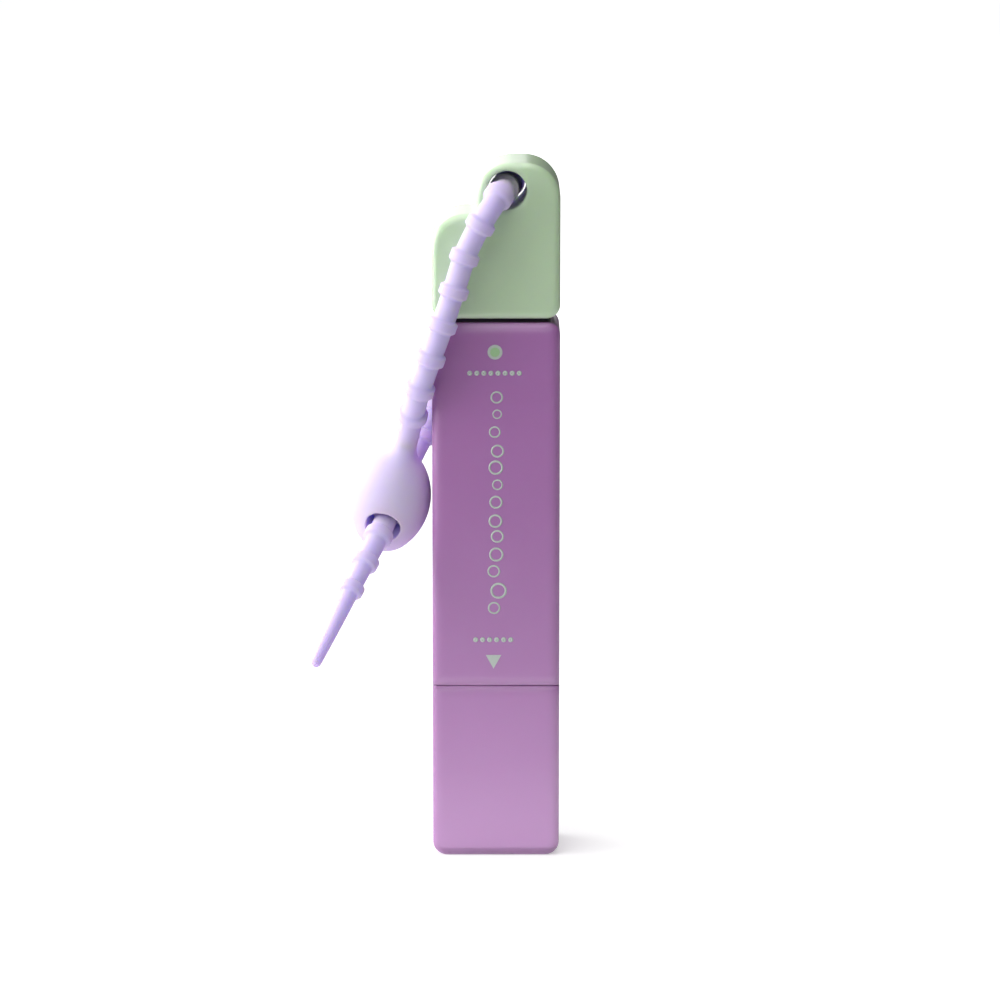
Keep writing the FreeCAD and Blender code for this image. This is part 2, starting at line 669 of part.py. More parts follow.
def make_valve_cage():
    cage_foot = f"({TUBE_FOOT} - size.cage_floor)"
    rim_top = f"({TUBE_FOOT} + size.cage_rim)"
    body = make_turned("valve_cage", (
        ("0", cage_foot),
        (TUBE_RADIUS, cage_foot),
        (TUBE_RADIUS, TUBE_FOOT),
        (CAGE_RIM_OUTER, TUBE_FOOT),
        (CAGE_RIM_OUTER, rim_top),
        (CAGE_RIM_INNER, rim_top),
        (CAGE_RIM_INNER, TUBE_FOOT),
        ("0", TUBE_FOOT),
    ))
    port = sketch_on(body, "XY_Plane", TUBE_FOOT)
    add_circle(port, "size.cage_port_ring", "0", "size.cage_port_radius")
    cut = pocket(body, port, "size.cage_floor + size.cut_overrun")
    pattern = body.newObject("PartDesign::PolarPattern", "valve_cage_ports")
    pattern.Originals = [cut]
    pattern.Axis = (origin_feature(body, "Z_Axis"), [""])
    pattern.Angle = 360
    pattern.setExpression("Occurrences", "size.cage_ports")
    body.Tip = pattern
    doc.recompute()
    return body


def make_nose_cone():
    flange = "(size.collar_bore_radius + size.nose_ledge)"
    body = make_turned("nose_cone", (
        (NIB_SEAT, FLANGE_TOP),
        (SEATED_RADIUS, FLANGE_TOP),
        (SEATED_RADIUS, COLLAR_TOP),
        (flange, COLLAR_TOP),
        (flange, NOSE_FLANGE_TOP),
        (NOSE_FOOT_RADIUS, NOSE_FLANGE_TOP),
        (NOSE_TIP_RADIUS, NOSE_TOP),
        (NOSE_BORE, NOSE_TOP),
        (NOSE_BORE, NOSE_STEP),
        (NIB_SEAT, NOSE_STEP),
    ))
    rings = ((value(NOSE_TIP_RADIUS), value(NOSE_TOP)), (value(flange), value(NOSE_FLANGE_TOP)))

    def is_outer_edge(edge):
        return any(is_ring_at(edge, radius, up) for radius, up in rings)

    round_edges(body, "size.nose_round", is_outer_edge)
    return body


def make_nib():
    body = make_turned("nib", (
        ("0", NIB_FOOT),
        (NIB_BASE_RADIUS, NIB_FOOT),
        (NIB_BASE_RADIUS, NIB_STEP),
        (NIB_RADIUS, NIB_STEP),
        (NIB_RADIUS, NIB_TOP),
        ("0", NIB_TOP),
    ))
    radius, top = value(NIB_RADIUS), value(NIB_TOP)
    round_edges(body, f"{NIB_RADIUS} - size.nib_tip_land", lambda edge: is_ring_at(edge, radius, top))
    return body


def make_cap_liner():
    foot = f"({NOSE_FLANGE_TOP} + size.liner_gap)"
    inner_top = f"({CEILING} - size.liner_top)"
    return make_turned("cap_liner", (
        (LINER_BORE, foot),
        (LINER_RADIUS, foot),
        (LINER_RADIUS, CEILING),
        ("0", CEILING),
        ("0", inner_top),
        (LINER_BORE, inner_top),
    ))


def flat_sided(radius):
    """The corners of a section with a few flat sides, for what repeats many times."""
    steps = (2 * math.pi * (side + 1 / 2) / SECTION_SIDES for side in range(SECTION_SIDES))
    return [(radius * math.cos(step), radius * math.sin(step)) for step in steps]


def make_valve_spring():
    """A tube of half turns, each half of a circle whose diameter is its own sloping chord."""
    wire, radius = value("size.spring_wire"), value(SPRING_RADIUS)
    foot = value(f"{TUBE_FOOT} + size.spring_end_gap + size.spring_wire / 2")
    top = value(f"{HEAD_FOOT} - size.spring_end_gap - size.spring_wire / 2")
    halves = 2 * int(value("size.spring_turns"))
    rise = (top - foot) / halves
    half_chord = math.hypot(radius, rise / 2)
    arcs = []
    for half in range(halves):
        side = 1 if half % 2 == 0 else -1
        level = foot + half * rise
        start = Vector(side * radius, 0, level)
        middle = Vector(0, side * half_chord, level + rise / 2)
        end = Vector(-side * radius, 0, level + rise)
        arcs.append(Part.Arc(start, middle, end).toShape())
    section = [Vector(radius + across, 0, foot + up) for across, up in flat_sided(wire / 2)]
    shell = Part.BRepOffsetAPI.MakePipeShell(Part.Wire(arcs))
    shell.add(Part.makePolygon(section + section[:1]))
    shell.build()
    shell.makeSolid()
    spring = doc.addObject("Part::Feature", "valve_spring")
    spring.Label = "valve_spring"
    spring.Shape = shell.shape()
    spring.Placement = FreeCAD.Placement()
    print(f"spring: gap between turns {2 * rise - wire:.2f} mm")
    return spring


# Brush: tufts stapled into blind holes, in rows and columns.

def tuft_places():
    columns, rows = int(value("size.tuft_columns")), int(value("size.tuft_rows"))
    for column in range(columns):
        for row in range(rows):
            yield (f"({column} - (size.tuft_columns - 1) / 2) * size.tuft_column_pitch",
                   f"({row} - (size.tuft_rows - 1) / 2) * size.tuft_row_pitch")


def group_of(node, shapes):
    group = doc.addObject("Part::Feature", node)
    group.Label = node
    group.Shape = Part.makeCompound(shapes)
    group.Placement = FreeCAD.Placement()
    return group


def make_bristle_tufts():
    face = value(BRUSH_FACE)
    root = face + value("size.tuft_hole_depth - size.anchor_height")
    tip = face - value("size.tuft_length")
    root_radius = value("size.tuft_hole_radius - size.tuft_fit")
    tip_radius = root_radius + value("size.tuft_flare")
    rings = []
    for radius, level in ((tip_radius, tip), (root_radius, face), (root_radius, root)):
        corners = [Vector(across, up, level) for across, up in flat_sided(radius)]
        rings.append(Part.makePolygon(corners + corners[:1]))
    tuft = Part.makeLoft(rings, True, True)
    return group_of("bristle_tufts", [
        tuft.translated(Vector(value(across), value(up), 0)) for across, up in tuft_places()])


def make_tuft_anchors():
    width, thickness = value("size.anchor_width"), value("size.anchor_thickness")
    foot = value(f"{BRUSH_FACE} + size.tuft_hole_depth - size.anchor_height")
    corner = Vector(-width / 2, -thickness / 2, foot)
    staple = Part.makeBox(width, thickness, value("size.anchor_height"), corner)
    return group_of("tuft_anchors", [
        staple.translated(Vector(value(across), value(up), 0)) for across, up in tuft_places()])


# Strap: a beaded silicone cord moulded onto an egg-shaped head.

def route_edges(points):
    """Straight runs joined by tangent arcs, each arc as large as its two runs allow."""
    edges, radii = [], []
    start = points[0]
    for before, corner, after in zip(points, points[1:], points[2:]):
        arrive, leave = (corner - before).normalize(), (after - corner).normalize()
        half_turn = arrive.getAngle(leave) / 2
        reach = ARC_SHARE * min(corner.distanceToPoint(before), corner.distanceToPoint(after))
        radius = reach / math.tan(half_turn)
        inward = (leave - arrive).normalize()
        arc_start, arc_end = corner - arrive * reach, corner + leave * reach
        arc_middle = corner + inward * (radius / math.cos(half_turn) - radius)
        edges.append(Part.LineSegment(start, arc_start).toShape())
        edges.append(Part.Arc(arc_start, arc_middle, arc_end).toShape())
        radii.append(radius)
        start = arc_end
    edges.append(Part.LineSegment(start, points[-1]).toShape())
    return edges, radii


def point_on(edges, place):
    """The point and the direction at a length along the route."""
    for edge in edges:
        if place <= edge.Length or edge is edges[-1]:
            parameter = edge.getParameterByLength(min(place, edge.Length))
            return edge.valueAt(parameter), edge.tangentAt(parameter)
        place -= edge.Length


def strap_outline(length):
    """Places along the strap with the radius there: core, beads, tapered tail and round tip."""
    core, rise = value("size.strap_radius"), value("size.bead_radius - size.strap_radius")
    bead, pitch = value("size.bead_length"), value("size.bead_pitch")
    taper, tip = value("size.taper_length"), value("size.tail_tip_radius")
    tail = length - value("size.tail_length")

    def core_at(place):
        passed = max(0, place - (length - taper))
        return core + (tip - core) * passed / taper

    outline = [(0, core)]
    middle = value("size.bead_first")
    slope = bead * BEAD_RISE_SHARE
    while middle + bead < tail:
        foot, end = middle - bead / 2, middle + bead / 2
        for place, height in ((foot, 0), (foot + slope, rise), (end - slope, rise), (end, 0)):
            outline.append((place, core_at(place) + height))
        middle += pitch
    outline.append((tail, core_at(tail)))
    outline += [(length - before * tip, share * tip) for before, share in TIP_SHARES]
    return outline


def radius_between(outline, place):
    for (start, one), (end, other) in zip(outline, outline[1:]):
        if start <= place <= end:
            return one + (other - one) * (place - start) / (end - start)


def with_bend_stations(outline, edges):
    """Adds places on the bends, so that the tube goes round them in small steps."""
    places = [place for place, radius in outline]
    gap = STATION_GAP_SHARE * value("size.bead_pitch")
    passed = 0
    stations = list(outline)
    for edge in edges:
        if isinstance(edge.Curve, Part.Circle):
            turn = math.degrees(edge.Length / edge.Curve.Radius)
            steps = max(2, math.ceil(turn / ARC_STEP_DEGREES))
            for step in range(steps + 1):
                place = passed + edge.Length * step / steps
                if min(abs(place - other) for other in places) > gap:
                    stations.append((place, radius_between(outline, place)))
                    places.append(place)
        passed += edge.Length
    return sorted(stations)


def make_strap():
    points = [Vector(*point) for point in STRAP_ROUTE]
    edges, radii = route_edges(points)
    length = sum(edge.Length for edge in edges)
    outline = strap_outline(length)
    ear_run = (Vector(*EAR_BACK) - Vector(*EAR_FRONT)).normalize()
    across = (points[0] - points[1]).cross(ear_run).normalize()
    rings, volume = [], 0
    stations = with_bend_stations(outline, edges)
    for place, radius in stations:
        point, direction = point_on(edges, place)
        ring = Part.Circle(point, direction, radius)
        ring.XAxis = (across - direction * across.dot(direction)).normalize()
        rings.append(Part.Wire(ring.toShape()))
    for (start, one), (end, other) in zip(stations, stations[1:]):
        volume += math.pi * (end - start) * (one * one + one * other + other * other) / 3
    strap = doc.addObject("Part::Feature", "strap")
    strap.Label = "strap"
    strap.Shape = Part.makeLoft(rings, True, True)
    strap.Placement = FreeCAD.Placement()
    print(f"strap: length {length:.1f} mm, {len(rings)} rings, volume {strap.Shape.Volume:.1f} mm3,"
          f" section times length {volume:.1f} mm3")
    print("strap: bend radii in mm", " ".join(f"{radius:.1f}" for radius in radii))
    return strap


def make_strap_head():
    neck = "size.strap_radius"
    middle = "-size.strap_head_drop"
    inset = "(size.strap_head_side_round - size.strap_head_radius)"
    body = new_body("strap_head")
    sketch = sketch_on(body, "XZ_Plane")
    level, neck_radius = value(middle), value(neck)
    side_radius, end_radius = value("size.strap_head_side_round"), value("size.strap_head_end_round")
    reach = math.sqrt((side_radius - end_radius) ** 2 - value(inset) ** 2)
    turn = math.atan2(reach, value(inset))
    neck_foot = level + reach + math.sqrt(end_radius ** 2 - neck_radius ** 2)
    axis = Vector(0, 0, 1)
    lower = Part.Circle(Vector(0, level - reach, 0), axis, end_radius)
    flank = Part.Circle(Vector(-value(inset), level, 0), axis, side_radius)
    upper = Part.Circle(Vector(0, level + reach, 0), axis, end_radius)
    bowl = sketch.addGeometry(Part.ArcOfCircle(lower, -math.pi / 2, -turn), False)
    side = sketch.addGeometry(Part.ArcOfCircle(flank, -turn, turn), False)
    dome = sketch.addGeometry(Part.ArcOfCircle(upper, turn, math.acos(neck_radius / end_radius)), False)
    corners = (
        Vector(neck_radius, neck_foot, 0),
        Vector(neck_radius, 0, 0),
        Vector(0, 0, 0),
        Vector(0, level - reach - end_radius, 0),
    )
    lines = [sketch.addGeometry(Part.LineSegment(*pair), False) for pair in zip(corners, corners[1:])]
    hold_across(sketch, bowl, CENTRE, "0")
    bind(sketch, Sketcher.Constraint("Radius", bowl, end_radius), "size.strap_head_end_round")
    hold_across(sketch, bowl, START, "0")
    sketch.addConstraint(Sketcher.Constraint("Tangent", bowl, END, side, START))
    bind(sketch, Sketcher.Constraint("Radius", side, side_radius), "size.strap_head_side_round")
    hold_across(sketch, side, CENTRE, f"-{inset}")
    hold_up(sketch, side, CENTRE, middle)
    sketch.addConstraint(Sketcher.Constraint("Tangent", side, END, dome, START))
    hold_across(sketch, dome, CENTRE, "0")
    bind(sketch, Sketcher.Constraint("Radius", dome, end_radius), "size.strap_head_end_round")
    join(sketch, dome, END, lines[0], START)
    hold_across(sketch, lines[0], START, neck)
    for line, across in ((1, neck), (2, "0")):
        hold_across(sketch, lines[line], START, across)
        hold_up(sketch, lines[line], START, "0")
    join(sketch, lines[0], END, lines[1], START)
    join(sketch, lines[1], END, lines[2], START)
    join(sketch, lines[2], END, bowl, START)
    revolve(body, sketch)
    round_edges(body, "size.strap_neck_round", lambda edge: is_ring_at(edge, neck_radius, neck_foot))
    points = [Vector(*point) for point in STRAP_ROUTE]
    upright = FreeCAD.Rotation(Vector(0, 0, 1), points[1] - points[0])
    stand = FreeCAD.Placement(points[0], upright)
    entry, leaving = (stand.inverse().multVec(Vector(*point)) for point in (HEAD_ENTRY, HEAD_EXIT))
    way = (leaving - entry).normalize()
    hole = sketch_on(body, "XY_Plane")
    hole.AttachmentOffset = FreeCAD.Placement((entry + leaving) / 2, FreeCAD.Rotation(Vector(0, 0, 1), way))
    add_circle(hole, "0", "0", "size.strap_hole_radius")
    pocket(body, hole)
    hole_radius = value("size.strap_hole_radius")

    def is_hole_rim(edge):
        if edge.Degenerated:
            return False
        ends = edge.valueAt(edge.FirstParameter), edge.valueAt(edge.LastParameter)
        on_wall = all(near(end.distanceToLine(entry, way), hole_radius) for end in ends)
        return on_wall and edge.Length > ends[0].distanceToPoint(ends[1]) + MATCH

    round_edges(body, "size.strap_hole_round", is_hole_rim)
    body.Placement = stand
    doc.recompute()
    return body


pieces = [
    make_brush_cap(),
    make_barrel(),
    make_remover_cap(),
    make_neck_collar(),
    make_reservoir(),
    make_reservoir_plug(),
    make_neck_gasket(),
    make_valve_body(),
    make_seat_washer(),
    make_valve_stem(),
    make_valve_spring(),
    make_valve_cage(),
    make_nose_cone(),
    make_nib(),
    make_cap_liner(),
    make_brush_carrier(),
    make_bristle_tufts(),
    make_tuft_anchors(),
    make_strap(),
    make_strap_head(),
]
doc.recompute()

failed = [item.Name for item in doc.Objects if "Invalid" in item.State or "Error" in item.State]
failed += [piece.Label for piece in pieces if piece.Shape.isNull() or not piece.Shape.isValid()]
if failed:
    raise RuntimeError("these did not build: " + ", ".join(failed))
os.makedirs("parts", exist_ok=True)
for piece in pieces:
    piece.Shape.exportStep(f"parts/{piece.Label}.step")
    box = piece.Shape.optimalBoundingBox()
    print(f"{piece.Label}: {len(piece.Shape.Solids)} solid(s), {piece.Shape.Volume:.1f} mm3,"
          f" z {box.ZMin:.2f} to {box.ZMax:.2f}")
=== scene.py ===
# %% [markdown]
# # A stain remover pen, dressed for its photograph
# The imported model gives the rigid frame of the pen. This lesson adds what a solid model leaves plain:
# a soft silicone strap, a head with rounded lips, bristles, printed marks, and a finish for every piece.

# %% Load the frame
import math

import bmesh
import bpy
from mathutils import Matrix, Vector


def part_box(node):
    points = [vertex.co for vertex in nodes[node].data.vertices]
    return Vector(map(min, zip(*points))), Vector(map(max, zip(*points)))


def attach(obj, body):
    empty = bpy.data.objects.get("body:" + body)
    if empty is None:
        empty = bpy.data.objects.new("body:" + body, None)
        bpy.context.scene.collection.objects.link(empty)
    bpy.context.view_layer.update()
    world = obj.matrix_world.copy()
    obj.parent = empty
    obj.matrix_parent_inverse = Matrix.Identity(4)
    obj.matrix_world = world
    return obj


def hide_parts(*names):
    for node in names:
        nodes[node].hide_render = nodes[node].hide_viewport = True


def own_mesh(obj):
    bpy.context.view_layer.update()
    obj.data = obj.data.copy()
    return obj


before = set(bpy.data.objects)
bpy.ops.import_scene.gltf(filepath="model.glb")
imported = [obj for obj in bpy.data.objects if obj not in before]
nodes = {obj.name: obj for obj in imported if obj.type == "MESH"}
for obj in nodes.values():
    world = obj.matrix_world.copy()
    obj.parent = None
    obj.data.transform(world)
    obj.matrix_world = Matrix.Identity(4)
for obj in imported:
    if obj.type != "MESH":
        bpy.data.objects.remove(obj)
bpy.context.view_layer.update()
MM = 0.001
print("nodes of the frame:", len(nodes))

# %% [markdown]
# ## Camera
# A long lens a good half metre away keeps the sides of the pen parallel, as in a catalogue picture.
# The camera looks down a little, so that the tops of the rounded edges show. A small shift puts the
# pen where the picture has it, which is better than turning the camera and tilting the pen.

# %% Camera
CAMERA_DISTANCE = 650 * MM
CAMERA_ELEVATION = math.radians(11.0)
CAMERA_TARGET = Vector((0.0, 0.0, 50 * MM))
camera_data = bpy.data.cameras.new("catalogue_camera")
camera_data.lens = 163.4
camera_data.sensor_width = 36.0
camera_data.shift_x = 0.004
camera_data.shift_y = 0.0061
camera = bpy.data.objects.new("catalogue_camera", camera_data)
bpy.context.scene.collection.objects.link(camera)
backwards = Vector((0.0, -math.cos(CAMERA_ELEVATION), math.sin(CAMERA_ELEVATION)))
camera.location = CAMERA_TARGET + CAMERA_DISTANCE * backwards
camera.rotation_euler = backwards.to_track_quat("Z", "Y").to_euler()
bpy.context.scene.camera = camera
print("camera at", [round(x, 3) for x in camera.location])

# %% [markdown]
# ## Two helpers
# Every tree of nodes below, for shapes and for finishes, is made by one small function that adds a node
# with its settings and its links. A second one turns the sRGB colours that a designer writes into the
# linear values that a shader works with.

# %% Helpers for nodes and colours
def add_node(tree, kind, links=None, **settings):
    """Adds a node. links gives an input's name or number a value, or the output that feeds it."""
    node = tree.nodes.new(kind)
    for name, setting in settings.items():
        setattr(node, name, setting)
    for key, source in (links or {}).items():
        socket = node.inputs[key]
        if isinstance(source, bpy.types.NodeSocket):
            tree.links.new(source, socket)
        else:
            socket.default_value = source
    return node


def linear(code):
    """The linear colour of an sRGB hex code."""
    parts = [int(code[i:i + 2], 16) / 255 for i in (1, 3, 5)]
    return tuple(c / 12.92 if c <= 0.04045 else ((c + 0.055) / 1.055) ** 2.4 for c in parts) + (1.0,)


def new_piece(name, mesh):
    """An object at the origin that shows the mesh, with its place in the mesh."""
    piece = bpy.data.objects.new(name, mesh)
    bpy.context.scene.collection.objects.link(piece)
    return piece


def baked(maker):
    """A plain mesh of what the maker object's modifiers give. The maker is removed."""
    bpy.context.view_layer.update()
    graph = bpy.context.evaluated_depsgraph_get()
    mesh = bpy.data.meshes.new_from_object(maker.evaluated_get(graph))
    bpy.data.objects.remove(maker)
    return mesh


def set_inputs(maker, tree, **values):
    """Puts the tree on the maker object and sets the tree's named inputs."""
    modifier = maker.modifiers.new(tree.name, "NODES")
    modifier.node_group = tree
    for item in tree.interface.items_tree:
        if item.item_type == "SOCKET" and item.in_out == "INPUT" and item.name in values:
            modifier[item.identifier] = values[item.name]
    return modifier


def new_tree(name, **inputs):
    """An empty geometry tree with one mesh in, one mesh out and the named inputs, given by their kind."""
    tree = bpy.data.node_groups.new(name, "GeometryNodeTree")
    tree.interface.new_socket("Geometry", in_out="INPUT", socket_type="NodeSocketGeometry")
    for title, kind in inputs.items():
        tree.interface.new_socket(title, in_out="INPUT", socket_type="NodeSocket" + kind)
    tree.interface.new_socket("Geometry", in_out="OUTPUT", socket_type="NodeSocketGeometry")
    return tree, add_node(tree, "NodeGroupInput").outputs


# %% [markdown]
# ## Finish: moulded plastic
# The casing is ABS, moulded in a tool with a fine eroded skin and sprayed with a clear satin lacquer. That
# gives a soft highlight, hardly any mirror image, and a colour that is even but not dead. A little light
# travels inside the plastic, which warms the edge that faces the lamp. The skin's grain of about 0.05 mm is
# too fine to show, so it is drawn at 0.25 mm and very low. A bevel node bends the shading across the rounded
# edges, so that light fades round them as it does on a softly drawn corner.

# %% Moulded plastic
CLOUD = 14 * MM
GRAIN = 0.25 * MM
LACQUER_ROUGHNESS = 0.26
LACQUER_IOR = 1.8
ABS_IOR = 1.53


def moulded_plastic(
    name, colour, deep_colour, roughness, scatter=0.12, warmth=(1.0, 0.3, 0.6), lacquer=0.0, edge=0.1
):
    """Moulded plastic: two close colours in soft clouds, a grained skin, a little scattering and a clear coat.

    edge is the reach in millimetres over which the shading bends at an edge.
    """
    material = bpy.data.materials.new(name)
    material.use_nodes = True
    tree = material.node_tree
    shader = tree.nodes["Principled BSDF"]
    place = add_node(tree, "ShaderNodeTexCoord").outputs["Object"]
    clouds = add_node(tree, "ShaderNodeTexNoise", {"Vector": place, "Scale": 1 / CLOUD, "Detail": 2.0})
    skin = add_node(tree, "ShaderNodeTexNoise", {"Vector": place, "Scale": 1 / GRAIN, "Detail": 3.0})
    shade = add_node(tree, "ShaderNodeMix", {"Factor": clouds.outputs["Fac"]}, data_type="RGBA")
    shade.inputs["A"].default_value = linear(colour)
    shade.inputs["B"].default_value = linear(deep_colour)
    gloss = add_node(tree, "ShaderNodeMapRange", {"Value": skin.outputs["Fac"]})
    gloss.inputs["To Min"].default_value = roughness - 0.05
    gloss.inputs["To Max"].default_value = roughness + 0.05
    soft = add_node(tree, "ShaderNodeBevel", {"Radius": edge * MM})
    bump = add_node(tree, "ShaderNodeBump", {"Height": skin.outputs["Fac"], "Normal": soft.outputs["Normal"]})
    bump.inputs["Strength"].default_value = 0.04
    bump.inputs["Distance"].default_value = 0.1 * MM
    tree.links.new(shade.outputs["Result"], shader.inputs["Base Color"])
    tree.links.new(gloss.outputs["Result"], shader.inputs["Roughness"])
    tree.links.new(bump.outputs["Normal"], shader.inputs["Normal"])
    tree.links.new(bump.outputs["Normal"], shader.inputs["Coat Normal"])
    shader.inputs["Coat Weight"].default_value = lacquer
    shader.inputs["Coat Roughness"].default_value = LACQUER_ROUGHNESS
    shader.inputs["Coat IOR"].default_value = LACQUER_IOR
    shader.inputs["Specular IOR Level"].default_value = 0.5 + 0.5 * lacquer
    shader.inputs["IOR"].default_value = ABS_IOR
    shader.inputs["Subsurface Weight"].default_value = scatter
    shader.inputs["Subsurface Radius"].default_value = warmth
    shader.inputs["Subsurface Scale"].default_value = 1.2 * MM
    return material


purple_abs = moulded_plastic("moulded_abs_purple", "#AC70B2", "#A66AAC", 0.40, scatter=0.35, lacquer=0.7, edge=2.2)
mint_abs = moulded_plastic(
    "moulded_abs_mint", "#C6E0BC", "#C0DAB6", 0.40, scatter=0.4, warmth=(0.6, 0.9, 0.3), lacquer=0.7, edge=1.2
)
dark_pp = moulded_plastic("moulded_polypropylene_dark", "#2A2230", "#231C29", 0.5, scatter=0.0)
white_pp = moulded_plastic("moulded_polypropylene_white", "#EEEDEA", "#E7E6E2", 0.38, warmth=(1.0, 0.9, 0.8))
clear_pe = moulded_plastic("blow_moulded_polyethylene", "#E6E8DF", "#DEE1D6", 0.34, scatter=0.5, warmth=(1.0, 1.0, 0.8))
soft_pe = moulded_plastic("soft_polyethylene_white", "#F0EFEC", "#E8E7E4", 0.55, scatter=0.3, warmth=(1.0, 0.9, 0.9))
print("plastics made")

# %% [markdown]
# ## Finish: silicone
# The strap and its head are liquid silicone rubber. It is half clear, so light goes in and comes out
# again some millimetres away: lit sides look milky, and shaded sides stay violet and never turn grey. Two
# layers give that, which paint on a hard surface can't: a matt, pale skin with a trace of dust, mixed half
# and half with a deeper colour that scatters the light inside. Blue light travels furthest there.

# %% Silicone
DUST = 4 * MM
SILICONE_IOR = 1.41
INSIDE_SHARE = 0.48
INSIDE_REACH = 4.0 * MM
INSIDE_SPREAD = (0.8, 0.3, 2.2)


def silicone_rubber(name, skin_colour, dusty_colour, deep_colour):
    """Milky matt skin with a trace of dust, over a deeper colour that light reaches from inside."""
    material = bpy.data.materials.new(name)
    material.use_nodes = True
    tree = material.node_tree
    shader = tree.nodes["Principled BSDF"]
    place = add_node(tree, "ShaderNodeTexCoord").outputs["Object"]
    dust = add_node(tree, "ShaderNodeTexNoise", {"Vector": place, "Scale": 1 / DUST, "Detail": 4.0})
    skin = add_node(tree, "ShaderNodeTexNoise", {"Vector": place, "Scale": 1 / (0.3 * MM), "Detail": 2.0})
    shade = add_node(tree, "ShaderNodeMix", {"Factor": dust.outputs["Fac"]}, data_type="RGBA")
    shade.inputs["A"].default_value = linear(skin_colour)
    shade.inputs["B"].default_value = linear(dusty_colour)
    bump = add_node(tree, "ShaderNodeBump", {"Height": skin.outputs["Fac"], "Strength": 0.03})
    bump.inputs["Distance"].default_value = 0.1 * MM
    tree.links.new(shade.outputs["Result"], shader.inputs["Base Color"])
    tree.links.new(bump.outputs["Normal"], shader.inputs["Normal"])
    shader.inputs["Roughness"].default_value = 0.5
    shader.inputs["IOR"].default_value = SILICONE_IOR
    inside = add_node(tree, "ShaderNodeSubsurfaceScattering", {"Normal": bump.outputs["Normal"]})
    inside.inputs["Color"].default_value = linear(deep_colour)
    inside.inputs["Radius"].default_value = INSIDE_SPREAD
    inside.inputs["Scale"].default_value = INSIDE_REACH
    both = add_node(tree, "ShaderNodeMixShader", {"Fac": INSIDE_SHARE, 1: shader.outputs[0], 2: inside.outputs[0]})
    tree.links.new(both.outputs[0], tree.nodes["Material Output"].inputs["Surface"])
    return material


lilac_silicone = silicone_rubber("liquid_silicone_lilac", "#F3F1F3", "#F6F4F5", "#A484D2")
print("silicone made")

# %% [markdown]
# ## The strap's route
# The strap starts at the top of its head, climbs the front of the pen, goes through the ear, comes down
# behind and leaves through the head's own cross hole. The points below are its route in millimetres, the
# same that the solid strap was drawn on. As control points of one quadratic NURBS they give a line that
# bends as rubber does, with no corners. The two points inside the ear keep it straight in the hole.

# %% Route of the strap
STRAP_ROUTE = (
    (-12.91, -2.49, 59.18),
    (-12.30, -3.20, 61.60),
    (-10.90, -7.90, 68.00),
    (-8.43, -9.45, 75.00),
    (-5.99, -9.40, 82.00),
    (-3.95, -9.55, 89.00),
    (0.55, -9.60, 96.10),
    (1.40, -0.50, 96.10),
    (1.50, 0.50, 96.10),
    (2.35, 9.60, 96.10),
    (-0.30, 9.30, 87.90),
    (-3.66, 9.45, 79.80),
    (-5.91, 9.50, 72.00),
    (-7.96, 9.60, 65.40),
    (-9.86, 9.50, 60.00),
    (-12.80, 7.04, 54.75),
    (-14.87, 0.00, 50.45),
    (-16.60, -5.57, 46.80),
    (-19.86, -11.80, 41.40),
    (-22.71, -17.20, 36.10),
    (-25.31, -22.00, 31.60),
)
route_data = bpy.data.curves.new("strap_route", "CURVE")
route_data.dimensions = "3D"
route_data.resolution_u = 24
spline = route_data.splines.new("NURBS")
spline.points.add(len(STRAP_ROUTE) - 1)
for point, place in zip(spline.points, STRAP_ROUTE):
    point.co = (place[0] * MM, place[1] * MM, place[2] * MM, 1.0)
spline.order_u = 3
spline.use_endpoint_u = True
route_line = baked(new_piece("strap_route", route_data))
strap_path = [vertex.co.copy() for vertex in route_line.vertices]
strap_length = sum((b - a).length for a, b in zip(strap_path, strap_path[1:]))
print("strap:", round(strap_length / MM, 1), "mm on", len(strap_path), "points")

# %% [markdown]
# ## The beaded strap
# The strap is one moulding: a round cord with a bead every five millimetres, which the head's hole holds
# like a ratchet, and a smooth tapered tail to thread it by. A tree of geometry nodes runs a circle along
# the route and works out its radius from the length passed so far. One formula gives core, beads, tail
# and the round tip, so the sizes stay easy to change.

